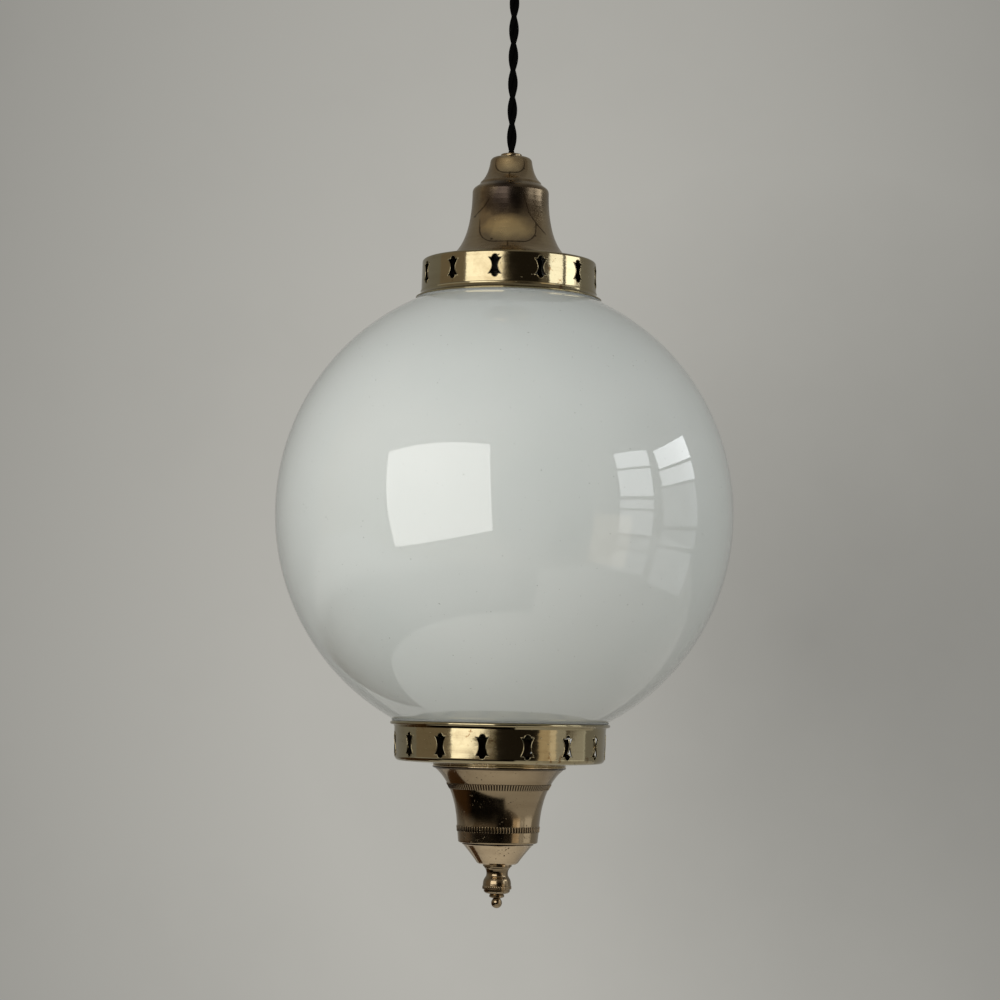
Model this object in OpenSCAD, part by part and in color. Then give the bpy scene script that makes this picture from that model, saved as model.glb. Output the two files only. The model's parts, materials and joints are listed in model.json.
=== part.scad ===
// Pendant light: an opal glass globe held between two pierced brass galleries.
// It hangs by a twisted flex from a ceiling fitting. The origin is the middle of the
// fitting's upper face, which lies against the ceiling, and everything is below it.

/* [Globe] */
// Widest outside diameter of the glass
globe_d = 300; // [270:1:330]
// Outside height of the full oval, before its two ends are cut off
globe_h = 306; // [280:1:340]
// Thickness of the glass
glass_t = 3.6; // [2.5:0.1:6]
// Diameter of the opening at each end
globe_mouth_d = 84; // [78:1:92]
// Thickness of the felt rings between the glass and the brass
gasket_t = 0.6; // [0.4:0.1:2]

/* [Top gallery] */
// Outside radius of the band at its upper edge
top_band_r = 57.2; // [52:0.2:62]
// How much wider the band is at its lower edge
top_band_spread = 0.4; // [0:0.1:2]
// Height of the band from the lip to its flat top
top_band_h = 21.4; // [16:0.2:26]
// How far the flared lip stands out from the band
top_lip_out = 3.5; // [2:0.1:6]
// Height of the flared lip
top_lip_h = 4.4; // [3.6:0.1:8]
// Number of cut-outs
top_holes = 12; // [6:1:16]
// Angle of the cut-out nearest the front, turned towards +X
top_phase = -9.4; // [-20:0.1:20]
// Height of a cut-out over both knobs
top_hole_h = 15; // [8:0.1:16]
// Width of a cut-out at its corners
top_hole_w = 9.2; // [5:0.1:12]
// Width of a cut-out at its waist
top_hole_waist = 4; // [2:0.1:5]
// Distance from the gallery's flat top down to a cut-out
top_hole_drop = 3.1; // [2:0.1:5]

/* [Bottom gallery] */
// Outside radius of the band
cup_band_r = 69; // [64:0.2:76]
// How much narrower the band is at its lower edge
cup_taper = 0.6; // [0:0.1:2]
// Height from the middle of the rolled rim to the floor's edge
cup_h = 24.6; // [21:0.2:32]
// Radius of the rolled rim's section
cup_bead_r = 1.25; // [0.9:0.05:2]
// How far the middle of the rolled rim stands out from the band
cup_rim_out = 1.5; // [1:0.1:3]
// Radius of the lower corner
cup_corner_r = 3.2; // [2:0.1:5]
// How much lower the floor lies at its middle than at its edge
cup_floor_dip = 1.8; // [0.5:0.1:4]
// Number of cut-outs
cup_holes = 15; // [8:1:18]
// Angle of the cut-out nearest the front, turned towards +X
cup_phase = -9.3; // [-20:0.1:20]
// Height of a cut-out over both knobs
cup_hole_h = 16.2; // [8:0.1:17]
// Width of a cut-out at its corners
cup_hole_w = 9.1; // [6:0.1:14]
// Width of a cut-out at its waist
cup_hole_waist = 4.9; // [2:0.1:6]
// Distance from the middle of the rolled rim down to a cut-out
cup_hole_drop = 5.6; // [4:0.1:7]

/* [Brass sheet] */
// Thickness of the spun brass sheet
sheet_t = 0.8; // [0.6:0.1:1.2]

/* [Top bell] */
// Height of the bell cover over the lampholder
bell_h = 69.5; // [66:0.5:84]
// Radius of the small dome on top
bell_dome_r = 14; // [12:0.1:16]
// Height of the dome's side, from its top down to the step
bell_dome_h = 17.4; // [12:0.2:18]
// Radius at the step under the dome
bell_step_r = 20.2; // [18:0.1:22]
// Radius of the shoulder
bell_shoulder_r = 25.2; // [24.6:0.1:30]
// Height of the rounded shoulder
bell_shoulder_h = 6.2; // [5:0.1:10]
// Radius where the bell stands on the gallery
bell_mouth_r = 42.2; // [38:0.2:48]

/* [Lower bell] */
// Radius of the flange under the bottom gallery
base_flange_r = 43.5; // [40:0.1:50]
// Thickness of the flange's rolled edge
base_flange_t = 2.4; // [1.6:0.1:4]
// Height of the whole lower bell
base_h = 64; // [58:0.5:76]
// Radius of the slim body at its lower edge
base_body_r = 26.8; // [24:0.1:30]
// How much narrower the body is at its lower edge
base_body_taper = 0.9; // [0.3:0.1:2]
// Height of the cone under the body
base_cone_h = 12.2; // [10:0.1:16]
// Radius at the top of the cone
base_cone_r = 22.8; // [20:0.1:23]
// Radius at the bottom of the cone
base_foot_r = 13.4; // [11:0.1:16]
// Height of the upper milled band
base_mill_upper_h = 3.8; // [2:0.1:5]
// Height of the lower milled band
base_mill_lower_h = 3.8; // [2:0.1:5]
// How far the milled bands stand out
mill_out = 0.2; // [0.1:0.05:1]

/* [Finial] */
// Largest radius of the turned finial
finial_r = 9.4; // [8:0.1:12]
// Length of the finial
finial_h = 27; // [24:0.5:36]
// Radius of the neck under the finial's flange
finial_neck_r = 6.9; // [5.6:0.1:7.6]
// Radius of the ball at the tip
finial_ball_r = 3.55; // [2.6:0.05:4.4]
// Thickness of the washer above the finial
finial_washer_t = 1.4; // [1:0.1:3]

/* [Hoop and rod] */
// Width of the hoop's steel strip
strip_w = 12; // [10:0.5:14]
// Thickness of the strip
strip_t = 1.6; // [1:0.1:2]
// Half width of the hoop beside the bulb, to the middle of the strip
hoop_half_w = 35; // [34:0.2:37]
// Radius of the hoop's lower corners
hoop_corner_r = 16; // [10:0.5:22]
// Gap between the bulb and the rod's upper end
bulb_clear = 8; // [4:0.5:20]
// Radius of the threaded rod
rod_r = 3; // [2.5:0.1:3.5]
// Height of the hex nuts on the rod
rod_nut_h = 5; // [4:0.5:6]
// Width across the flats of the hex nuts on the rod
rod_nut_af = 10; // [9:0.5:12]
// Depth of thread in the finial
rod_grip = 14; // [12:0.5:15]

/* [Nipple] */
// Outside radius of the threaded tube
nipple_r = 5; // [4.9:0.1:5.4]
// Bore radius of the threaded tube
nipple_bore_r = 3.9; // [3.8:0.05:4.1]
// Radius of the collar on the lamp's top
collar_r = 7; // [6.4:0.1:9]
// Height of the collar
collar_h = 2.2; // [1.8:0.1:4]
// Height of the hex nuts on the threaded tube
nipple_nut_h = 4; // [3:0.5:4.5]
// Width across the flats of the hex nuts on the threaded tube
nipple_nut_af = 14; // [13:0.5:15]

/* [Lampholder] */
// Outside radius of the lampholder
holder_r = 19; // [18.6:0.1:19.6]
// Wall of the lampholder's cap and skirt
holder_t = 1.8; // [1.4:0.1:2]
// Radius of the threaded neck on the cap
holder_neck_r = 8; // [7.4:0.1:9]
// Height of the threaded neck
holder_neck_h = 7; // [6:0.5:8]
// Height of the cap below its neck
holder_cap_h = 17; // [16:0.5:18]
// Height of the skirt
holder_skirt_h = 27; // [25:0.5:30]
// Thickness of the porcelain insert
insert_h = 13; // [11:0.5:13]
// Radius of the porcelain insert
insert_r = 16.4; // [16:0.1:16.6]

/* [Bulb] */
// Length of the bulb with its cap
bulb_l = 104; // [100:1:112]
// Largest radius of the bulb's glass
bulb_r = 30; // [27:0.2:31]
// Radius of the bulb's screw cap
bulb_cap_r = 13; // [12.9:0.05:13.2]
// Length of the screw cap
bulb_cap_l = 25; // [23:0.5:27]
// Thickness of the bulb's glass
bulb_glass_t = 0.8; // [0.6:0.1:1]

/* [Ceiling fitting] */
// Outside radius of the canopy
canopy_r = 50; // [48:0.5:60]
// Height of the canopy
canopy_h = 62; // [61.5:0.1:63]
// Height of the canopy's straight side
canopy_side_h = 26; // [20:0.5:30]
// Radius of the hole that the flex comes out of
canopy_hole_r = 11; // [10.8:0.1:13]
// Radius of the round plate against the ceiling
plate_r = 32; // [30:0.5:36]
// Thickness of the plate
plate_t = 2; // [1.5:0.1:2.5]
// Width of the strap with the bent ears
strap_w = 12; // [10:0.5:14]
// Length of the bent ears
ear_h = 15; // [13:0.5:18]
// Distance between the two ceiling-screw holes
fixing_pitch = 72; // [70:1:76]
// Radius of the ceiling-screw holes
fixing_hole_r = 2.3; // [2:0.1:3]
// Radius of the canopy screws' knurled heads
canopy_screw_r = 4; // [3:0.1:5]

/* [Hook, ring and clamp] */
// Radius of the hook's wire
hook_wire_r = 2; // [1.7:0.1:2.1]
// Radius of the hook's bend, to the middle of the wire
hook_bend_r = 6.5; // [6.5:0.1:7]
// Radius of the ring's and the bail's wire
ring_wire_r = 1.5; // [1.3:0.05:1.6]
// Radius of the ring, to the middle of its wire
ring_bend_r = 6.5; // [6.4:0.1:6.6]
// Half width of the bail, to the middle of its wire
bail_half_w = 6.5; // [6.2:0.1:7]
// Width of the cord clamp
clamp_w = 20; // [19:0.5:22]
// Depth of the cord clamp
clamp_d = 12; // [11:0.5:14]
// Height of the cord clamp
clamp_h = 14; // [13:0.5:15]

/* [Flex] */
// Radius round both twisted cores of the flex
flex_r = 3.25; // [2.8:0.05:3.4]
// Radius of one bare insulated core
core_r = 1.2; // [1:0.05:1.3]

/* [Fits] */
// Play between a thread or pin and what it goes through, on the radius
fit = 0.05; // [0.02:0.01:0.1]
// Gap between parts that move past each other
running_gap = 0.3; // [0.2:0.05:0.5]

/* [Hidden] */
$fn = 96;

// The flex hangs straight. Its route runs from the clamp's top to inside the collar.
flex_route = [
    [0, 0, -38], [0, 0, -48], [0, 0, -58], [0, 0, -68], [0, 0, -78], [0, 0, -88],
    [0, 0, -98], [0, 0, -108], [0, 0, -118], [0, 0, -128], [0, 0, -138],
    [0, 0, -148], [0, 0, -158], [0, 0, -168], [0, 0, -178], [0, 0, -188]
];
flex_sides = 8;
flex_top_z = flex_route[0][2];
flex_end_z = flex_route[len(flex_route) - 1][2];
flex_in_collar = 6;

// Colours
brass = [0.66, 0.54, 0.33];
old_brass = [0.52, 0.43, 0.28];
opal = [0.84, 0.88, 0.86];
steel = [0.62, 0.62, 0.61];
porcelain = [0.92, 0.91, 0.87];
black = [0.07, 0.07, 0.07];
felt = [0.20, 0.19, 0.17];
cap_metal = [0.72, 0.70, 0.66];
core_colours = [[0.16, 0.12, 0.09], [0.25, 0.20, 0.13]];

// The globe's surface: height and slope of its outside at a given radius
globe_r = globe_d / 2;
globe_half_h = globe_h / 2;
globe_mouth_r = globe_mouth_d / 2;
function globe_z(r) = globe_half_h * sqrt(1 - pow(r / globe_r, 2));
function globe_slope(r) = atan(globe_half_h / globe_r * r / sqrt(pow(globe_r, 2) - pow(r, 2)));
function above_glass(r, gap) = globe_z(r) + gap / cos(globe_slope(r));

// Heights in the lamp, from the middle of the globe
top_low_r = top_band_r + top_band_spread;
top_lip_r = top_low_r + top_lip_out;
top_lip_z = above_glass(top_lip_r, gasket_t + 2 * fit);
top_band_z = top_lip_z + top_lip_h;
top_plate_z = top_band_z + top_band_h;
bell_z = top_plate_z + fit;
bell_top_z = bell_z + bell_h;
collar_top_z = bell_top_z + collar_h;

cup_rim_r = cup_band_r + cup_rim_out;
cup_low_r = cup_band_r - cup_taper;
cup_rim_z = -above_glass(cup_rim_r, gasket_t + 2 * fit + cup_bead_r);
cup_edge_z = cup_rim_z - cup_h;
cup_floor_z = cup_edge_z - cup_floor_dip;
base_bottom_z = cup_floor_z - base_h;

// The lamp hangs from the flex's lower end
lamp_z = flex_end_z + flex_in_collar - collar_top_z;

// Lampholder and bulb, hung from the hoop's strap under the bell's shoulder
strap_clear = 1.6;
strap_z = bell_top_z - bell_dome_h - bell_shoulder_h - strap_clear;
holder_top_z = strap_z - strip_t;
holder_shoulder_z = holder_top_z - holder_neck_h;
holder_joint_z = holder_shoulder_z - holder_cap_h;
holder_mouth_z = holder_joint_z - holder_skirt_h;
insert_rise = 6;
insert_top_z = holder_joint_z + insert_rise;
insert_z = insert_top_z - insert_h;
contact_t = 1.4;
bulb_top_z = insert_z - contact_t - fit;
bulb_button_h = 2;
bulb_contact_r = 7;
bulb_cap_wall = 0.5;
bulb_shoulder_z = bulb_top_z - bulb_button_h;
bulb_cap_z = bulb_top_z - bulb_cap_l;
bulb_bottom_z = bulb_top_z - bulb_l;
bulb_ball_z = bulb_bottom_z + bulb_r;
bush_flange_h = 0.6;
nipple_in_holder = 3;
nipple_top_z = collar_top_z - bush_flange_h;
nipple_z = holder_shoulder_z - nipple_in_holder;
sleeve_t = 0.7;
sleeve_gap = 0.4;
terminal_offset = 10;
sleeve_in_r = bulb_cap_r + 2 * fit;

// Rod: its upper end stays clear of the bulb, its lower end sits in the finial
rod_top_z = bulb_bottom_z - bulb_clear;
rod_past_nut = 1.5;
hoop_floor_z = rod_top_z - rod_past_nut - rod_nut_h;
washer_z = base_bottom_z - 2 * fit;
finial_z = washer_z - finial_washer_t - 2 * fit;
rod_z = finial_z - rod_grip;
leg_clear = 2.4;
leg_x = bell_shoulder_r - sheet_t - leg_clear;

// Ceiling fitting, from the ceiling down
plate_z = -plate_t;
weld_nut_h = 5;
hook_shank = 2;
hook_bend_z = plate_z - weld_nut_h - hook_shank - hook_bend_r;
hook_low_z = hook_bend_z - hook_bend_r;
ring_z = hook_low_z + hook_wire_r + running_gap + ring_wire_r - ring_bend_r;
ring_low_z = ring_z - ring_bend_r;
bail_z = ring_low_z + 2 * ring_wire_r + running_gap - bail_half_w;
clamp_z = flex_top_z - clamp_h;
clamp_slit = 0.4;
swing_clear = 0.6;
bail_in_clamp = 5;
clamp_screw_r = 1.4;
clamp_screw_z = clamp_z + 4.5;
ear_x = canopy_r - sheet_t - 0.8;
ear_t = 1.6;
canopy_gap = 0.5;
canopy_screw_z = plate_z - 8;
canopy_screw_shank_r = 1.9;
block_y = 20;
block_w = 26;
block_d = 16;
block_h = 11;
terminal_x = 6.5;
terminal_bore_r = 2.2;
terminal_screw_y = 4;
terminal_screw_r = 1.7;
block_screw_r = 1.5;
block_screw_head_r = 2.9;
terminal_z = plate_z - 6.5;

// Curves and sheet-metal outlines
function bezier(a, b, c, d, n) = [
    for (i = [0 : n])
        let (t = i / n, s = 1 - t)
            s * s * s * a + 3 * s * s * t * b + 3 * s * t * t * c + t * t * t * d
];
function arc(centre, r, from, to, n) = [
    for (i = [0 : n])
        let (q = from + (to - from) * i / n)
            centre + r * [cos(q), sin(q)]
];
function backwards(p) = [for (i = [len(p) - 1 : -1 : 0]) p[i]];
function right_of(a, b) = let (d = (b - a) / norm(b - a)) [d[1], -d[0]];
function normal_at(p, i) =
    let (
        before = right_of(p[max(i - 1, 0)], p[max(i, 1)]),
        after = right_of(p[min(i, len(p) - 2)], p[min(i + 1, len(p) - 1)]),
        mean = (before + after) / norm(before + after)
    )
    mean / max(0.5, mean * before);
function beside(p, t) = [for (i = [0 : len(p) - 1]) p[i] + t * normal_at(p, i)];
function radius_at(p, z) = lookup(z, [for (q = p) [q[1], q[0]]]);

// A sheet spun to an outline of [radius, height] points, its thickness on the right
module spun(outline, t) {
    rotate_extrude()
        polygon(concat(outline, backwards(beside(outline, t))));
}

module ring_band(r_in, r_out, z_low, z_high) {
    rotate_extrude()
        translate([r_in, z_low])
            square([r_out - r_in, z_high - z_low]);
}

module hex_nut(af, h, bore_r) {
    difference() {
        cylinder(h = h, r = af / 2 / cos(30), $fn = 6);
        translate([0, 0, -1])
            cylinder(h = h + 2, r = bore_r);
    }
}

// A tube swept along a route: one ring of points square to the route at each of its
// points. The upright is any direction that the route never runs along.
function heading(p, i) =
    let (d = p[min(i + 1, len(p) - 1)] - p[max(i - 1, 0)])
    d / norm(d);
function tube_ring(centre, t, r, sides, upright) =
    let (u = cross(upright, t) / norm(cross(upright, t)), v = cross(t, u))
    [for (k = [0 : sides - 1]) centre + r * (cos(k * 360 / sides) * u + sin(k * 360 / sides) * v)];
function tube_walls(rings, sides) = [
    for (i = [0 : rings - 2])
        for (k = [0 : sides - 1])
            let (a = i * sides + k, b = i * sides + (k + 1) % sides)
                [a, a + sides, b + sides, b]
];

module tube(route, r, sides, upright) {
    rings = len(route);
    surface = [
        for (i = [0 : rings - 1])
            each tube_ring(route[i], heading(route, i), r, sides, upright)
    ];
    first = [for (k = [0 : sides - 1]) k];
    last = [for (k = [sides - 1 : -1 : 0]) (rings - 1) * sides + k];
    polyhedron(points = surface, faces = concat([first], tube_walls(rings, sides), [last]));
}

module in_lamp() {
    translate([0, 0, lamp_z])
        children();
}

// Cut-out with hollow sides, four corners and a round knob at each end
knob_share = 0.46;
knob_h = 2;
function cut_half(w, waist, h) =
    let (corner = h / 2 - knob_h, knob_r = knob_share * w / 2)
    concat(
        [for (i = [-6 : 6])
            let (s = i / 6) [waist / 2 + (w - waist) / 2 * s * s, corner * s]],
        [[knob_r * 1.08, corner - 0.15]],
        [for (q = [15 : 30 : 165]) [knob_r * cos(q), corner + knob_h * sin(q)]]
    );
function cut_outline(w, waist, h) =
    let (half = cut_half(w, waist, h), upper = [for (p = half) if (p[0] >= 0) p])
    concat(
        [for (p = upper) if (p[1] >= 0) p],
        [for (p = backwards(upper)) if (p[1] > 0) [-p[0], p[1]]],
        [for (p = upper) if (p[1] >= 0) [-p[0], -p[1]]],
        [for (p = backwards(upper)) if (p[1] > 0) [p[0], -p[1]]]
    );

module cut_outs(count, phase, r, z_top, w, waist, h) {
    depth = 12;
    for (i = [0 : count - 1])
        rotate([0, 0, phase + i * 360 / count])
            translate([0, -r + depth / 2, z_top - h / 2])
                rotate([90, 0, 0])
                    linear_extrude(height = depth)
                        polygon(cut_outline(w, waist, h));
}

// Ceiling fitting

module ceiling_plate() {
    color(steel)
    difference() {
        union() {
            translate([0, 0, plate_z])
                cylinder(h = plate_t, r = plate_r);
            translate([-ear_x, -strap_w / 2, plate_z])
                cube([2 * ear_x, strap_w, plate_t]);
            for (side = [-1, 1])
                translate([side * (ear_x - ear_t / 2) - ear_t / 2, -strap_w / 2, -ear_h])
                    cube([ear_t, strap_w, ear_h]);
        }
        for (side = [-1, 1]) {
            translate([side * fixing_pitch / 2, 0, -plate_t - 1])
                cylinder(h = plate_t + 2, r = fixing_hole_r);
            translate([side * (ear_x - ear_t - 1), 0, canopy_screw_z])
                rotate([0, side * 90, 0])
                    cylinder(h = ear_t + 2, r = canopy_screw_shank_r + fit);
        }
        translate([0, block_y, -plate_t - 1])
            cylinder(h = plate_t + 2, r = block_screw_r + fit);
    }
}

canopy_outline = concat(
    [[canopy_r, -canopy_gap]],
    bezier(
        [canopy_r, -canopy_side_h], [canopy_r, -canopy_side_h - 20],
        [30, -canopy_h + 7], [canopy_hole_r + sheet_t + 3.4, -canopy_h + 3.4], 14
    ),
    [[canopy_hole_r + sheet_t + 0.6, -canopy_h + 1.6], [canopy_hole_r + sheet_t, -canopy_h]]
);

module canopy() {
    color(brass)
    difference() {
        spun(canopy_outline, sheet_t);
        for (side = [-1, 1])
            translate([side * (canopy_r - 3), 0, canopy_screw_z])
                rotate([0, side * 90, 0])
                    cylinder(h = 6, r = canopy_screw_shank_r + 0.2);
    }
}

module canopy_screws() {
    head_h = 4;
    tip_x = ear_x - ear_t - 2;
    shank = canopy_r + 0.2 - tip_x;
    color(brass)
    for (side = [-1, 1])
        translate([side * tip_x, 0, canopy_screw_z])
            rotate([0, side * 90, 0])
                union() {
                    cylinder(h = shank + 1, r = canopy_screw_shank_r);
                    translate([0, 0, shank])
                        cylinder(h = head_h, r = canopy_screw_r);
                }
}

module weld_nut() {
    color(steel)
    translate([0, 0, plate_z - weld_nut_h])
        hex_nut(10, weld_nut_h, hook_wire_r + fit);
}

module ceiling_hook() {
    tip_angle = 15;
    color(steel)
    union() {
        translate([0, 0, hook_bend_z + hook_bend_r]) {
            cylinder(h = plate_z - 0.2 - hook_bend_z - hook_bend_r, r = hook_wire_r, $fn = 48);
            sphere(r = hook_wire_r, $fn = 48);
        }
        translate([0, 0, hook_bend_z])
            rotate([90, 0, 0])
                rotate([0, 0, 90])
                    rotate_extrude(angle = 270 + tip_angle)
                        translate([hook_bend_r, 0])
                            circle(r = hook_wire_r, $fn = 48);
        translate([0, 0, hook_bend_z])
            rotate([0, -tip_angle, 0])
                translate([hook_bend_r, 0, 0])
                    sphere(r = hook_wire_r, $fn = 48);
    }
}

module terminal_block() {
    color(porcelain)
    difference() {
        translate([-block_w / 2, block_y - block_d / 2, plate_z - block_h])
            cube([block_w, block_d, block_h]);
        for (side = [-1, 1]) {
            translate([side * terminal_x, block_y + block_d / 2 + 1, terminal_z])
                rotate([90, 0, 0])
                    cylinder(h = block_d + 2, r = terminal_bore_r);
            for (y = [-terminal_screw_y, terminal_screw_y])
                translate([side * terminal_x, block_y + y, plate_z - block_h - 1])
                    cylinder(h = block_h - 4, r = terminal_screw_r + 2 * fit);
        }
        translate([0, block_y, plate_z - block_h - 1])
            cylinder(h = block_h + 2, r = block_screw_r + 0.2);
        translate([0, block_y, plate_z - block_h - 1])
            cylinder(h = 4, r = block_screw_head_r + running_gap);
    }
}

module slotted_screw(head_r, head_h, shank_r, length) {
    slot_w = 0.7;
    slot_depth = 0.8;
    difference() {
        union() {
            cylinder(h = head_h, r = head_r, $fn = 48);
            cylinder(h = length, r = shank_r, $fn = 48);
        }
        translate([-head_r - 1, -slot_w / 2, -1])
            cube([2 * head_r + 2, slot_w, slot_depth + 1]);
    }
}

module terminal_screws() {
    color(brass)
    for (side = [-1, 1])
        for (y = [-terminal_screw_y, terminal_screw_y])
            translate([side * terminal_x, block_y + y, plate_z - block_h + 0.5])
                slotted_screw(terminal_screw_r, 2, terminal_screw_r, 2.6);
}

module block_screw() {
    color(steel)
    translate([0, block_y, plate_z - block_h + 0.4])
        slotted_screw(block_screw_head_r, 2.5, block_screw_r, block_h + plate_t - 0.6);
}

// The two cores run from just above the flex's end, which swings under them, below the
// ring and up into the terminal block
module ceiling_cores() {
    start_x = core_r + 0.3;
    start_z = flex_top_z + swing_clear;
    low_z = start_z + core_r + 1.2;
    turn_y = block_y - 10;
    for (side = [-1, 1])
        color(core_colours[side < 0 ? 0 : 1])
        tube(concat(
            [[side * start_x, 0, start_z]],
            bezier(
                [side * start_x, 0, start_z + 0.75], [side * start_x, 0, low_z + 0.2],
                [side * start_x, 1, low_z], [side * (start_x + 0.2), 6, low_z], 5
            ),
            bezier(
                [side * (start_x + 0.3), 8, low_z], [side * (start_x + 1), turn_y + 4, low_z],
                [side * terminal_x, turn_y + 3, low_z + 12], [side * terminal_x, turn_y, low_z + 20], 7
            ),
            bezier(
                [side * terminal_x, turn_y - 0.8, low_z + 22], [side * terminal_x, turn_y - 1.4, terminal_z],
                [side * terminal_x, turn_y, terminal_z], [side * terminal_x, block_y - 3, terminal_z], 6
            )
        ), core_r, 8, [1, 0, 0]);
}

// Ring, bail and cord clamp

module suspension_ring() {
    color(steel)
    translate([0, 0, ring_z])
        rotate([0, 90, 0])
            rotate_extrude()
                translate([ring_bend_r, 0])
                    circle(r = ring_wire_r, $fn = 48);
}

module clamp_bail() {
    leg = bail_z - (flex_top_z - bail_in_clamp);
    color(steel)
    union() {
        translate([0, 0, bail_z])
            rotate([90, 0, 0])
                rotate_extrude(angle = 180)
                    translate([bail_half_w, 0])
                        circle(r = ring_wire_r, $fn = 48);
        for (side = [-1, 1])
            translate([side * bail_half_w, 0, bail_z - leg])
                cylinder(h = leg, r = ring_wire_r, $fn = 48);
    }
}

module clamp_half(side) {
    difference() {
        translate([-clamp_w / 2, side > 0 ? clamp_slit / 2 : -clamp_d / 2, clamp_z])
            cube([clamp_w, (clamp_d - clamp_slit) / 2, clamp_h]);
        translate([0, 0, clamp_z - 1])
            cylinder(h = clamp_h + 2, r = flex_r + fit);
        for (x = [-1, 1]) {
            translate([x * bail_half_w, 0, flex_top_z - bail_in_clamp - 0.3])
                cylinder(h = bail_in_clamp + 2, r = ring_wire_r + fit);
            translate([x * bail_half_w, clamp_d, clamp_screw_z])
                rotate([90, 0, 0])
                    cylinder(h = 2 * clamp_d, r = clamp_screw_r + fit);
        }
    }
}

module clamp_front() {
    color(black)
        clamp_half(-1);
}

module clamp_back() {
    color(black)
        clamp_half(1);
}

module clamp_screws() {
    head_h = 1.8;
    color(steel)
    for (x = [-1, 1])
        translate([x * bail_half_w, -clamp_d / 2 - head_h - fit, clamp_screw_z])
            rotate([-90, 0, 0])
                slotted_screw(2.6, head_h, clamp_screw_r, clamp_d + head_h);
}

// Flex: one tube along its route

module flex() {
    color(black)
        tube(flex_route, flex_r, flex_sides, [1, 0, 0]);
}

// Top of the lamp

collar_in_r = nipple_r + fit;

module nipple_collar() {
    lip = 0.7;
    color(brass)
    in_lamp()
        rotate_extrude()
            polygon(concat(
                [[collar_in_r, bell_top_z], [collar_r, bell_top_z]],
                arc([collar_r - lip, collar_top_z - lip], lip, 0, 90, 4),
                [[collar_in_r, collar_top_z]]
            ));
}

module flex_bush() {
    depth = 8;
    color(black)
    in_lamp()
    rotate_extrude() {
        translate([flex_r + fit, nipple_top_z - depth])
            square([nipple_bore_r - flex_r - 2 * fit, depth + bush_flange_h]);
        translate([flex_r + fit, nipple_top_z + 2 * fit])
            square([nipple_r - flex_r - fit, bush_flange_h - 2 * fit]);
    }
}

module nipple() {
    color(steel)
    in_lamp()
        ring_band(nipple_bore_r, nipple_r, nipple_z, nipple_top_z);
}

bell_step_z = bell_h - bell_dome_h;
bell_shoulder_z = bell_step_z - bell_shoulder_h;
bell_outline = concat(
    [[collar_in_r + 0.05, bell_h], [bell_dome_r - 4.6, bell_h]],
    arc([bell_dome_r - 3.4, bell_h - 3.4], 3.2, 72, 6, 6),
    bezier(
        [bell_dome_r + 0.1, bell_h - 5], [bell_dome_r + 1, bell_h - 10],
        [bell_dome_r + 2.8, bell_step_z + 3.6], [bell_step_r - 0.8, bell_step_z + 0.9], 8
    ),
    [[bell_step_r - 0.3, bell_step_z + 0.5], [bell_step_r, bell_step_z - 0.3]],
    bezier(
        [bell_step_r + 0.3, bell_step_z - 1], [bell_shoulder_r - 1.6, bell_step_z - 3.4],
        [bell_shoulder_r - 0.3, bell_shoulder_z + 2.6], [bell_shoulder_r, bell_shoulder_z], 6
    ),
    bezier(
        [bell_shoulder_r, bell_shoulder_z - 1], [bell_shoulder_r, 0.6 * bell_shoulder_z],
        [bell_shoulder_r + 3.6, 6.5], [bell_mouth_r, sheet_t + 0.1], 16
    )
);

module top_bell() {
    color(old_brass)
    in_lamp()
        translate([0, 0, bell_z])
            spun(bell_outline, sheet_t);
}

module bell_nut() {
    color(steel)
    in_lamp()
        translate([0, 0, bell_top_z - sheet_t - nipple_nut_h - fit])
            hex_nut(nipple_nut_af, nipple_nut_h, nipple_r + fit);
}

module strap_nut() {
    color(steel)
    in_lamp()
        translate([0, 0, strap_z + fit])
            hex_nut(nipple_nut_af, nipple_nut_h, nipple_r + fit);
}

// Outline of the top gallery from the hole in its flat top to the edge of its lip,
// whose underside lies on the felt
top_edge_z = top_lip_z + 1.3 * sheet_t;
top_corner_r = 1.6;
top_hole_in_r = leg_x + strip_t + 3.6;
top_outline = concat(
    [[top_hole_in_r, top_plate_z]],
    arc([top_band_r - top_corner_r, top_plate_z - top_corner_r], top_corner_r, 90, 0, 5),
    [[top_low_r, top_band_z + 0.9], [top_low_r + 0.5, top_band_z + 0.5]],
    bezier(
        [top_low_r + 0.3, top_band_z - 0.2], [top_low_r + 0.4, top_band_z - 0.45 * top_lip_h],
        [top_low_r + 1, top_edge_z + 1.4], [top_lip_r, top_edge_z], 6
    )
);

module top_gallery() {
    color(brass)
    in_lamp()
    difference() {
        spun(top_outline, sheet_t);
        cut_outs(
            top_holes, top_phase, top_band_r, top_plate_z - top_hole_drop,
            top_hole_w, top_hole_waist, top_hole_h
        );
    }
}

// A felt ring that follows the glass between two radii
module glass_ring(r_in, r_out, side) {
    steps = 4;
    radii = [for (i = [0 : steps]) r_in + (r_out - r_in) * i / steps];
    rotate_extrude()
        polygon(concat(
            [for (r = radii) [r, side * above_glass(r, fit)]],
            [for (r = backwards(radii)) [r, side * above_glass(r, fit + gasket_t)]]
        ));
}

module upper_gasket() {
    color(felt)
    in_lamp()
        glass_ring(top_lip_r - 3.4, top_lip_r - 0.3, 1);
}

module lower_gasket() {
    color(felt)
    in_lamp()
        glass_ring(cup_rim_r - 3, cup_rim_r + 0.2, -1);
}

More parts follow.
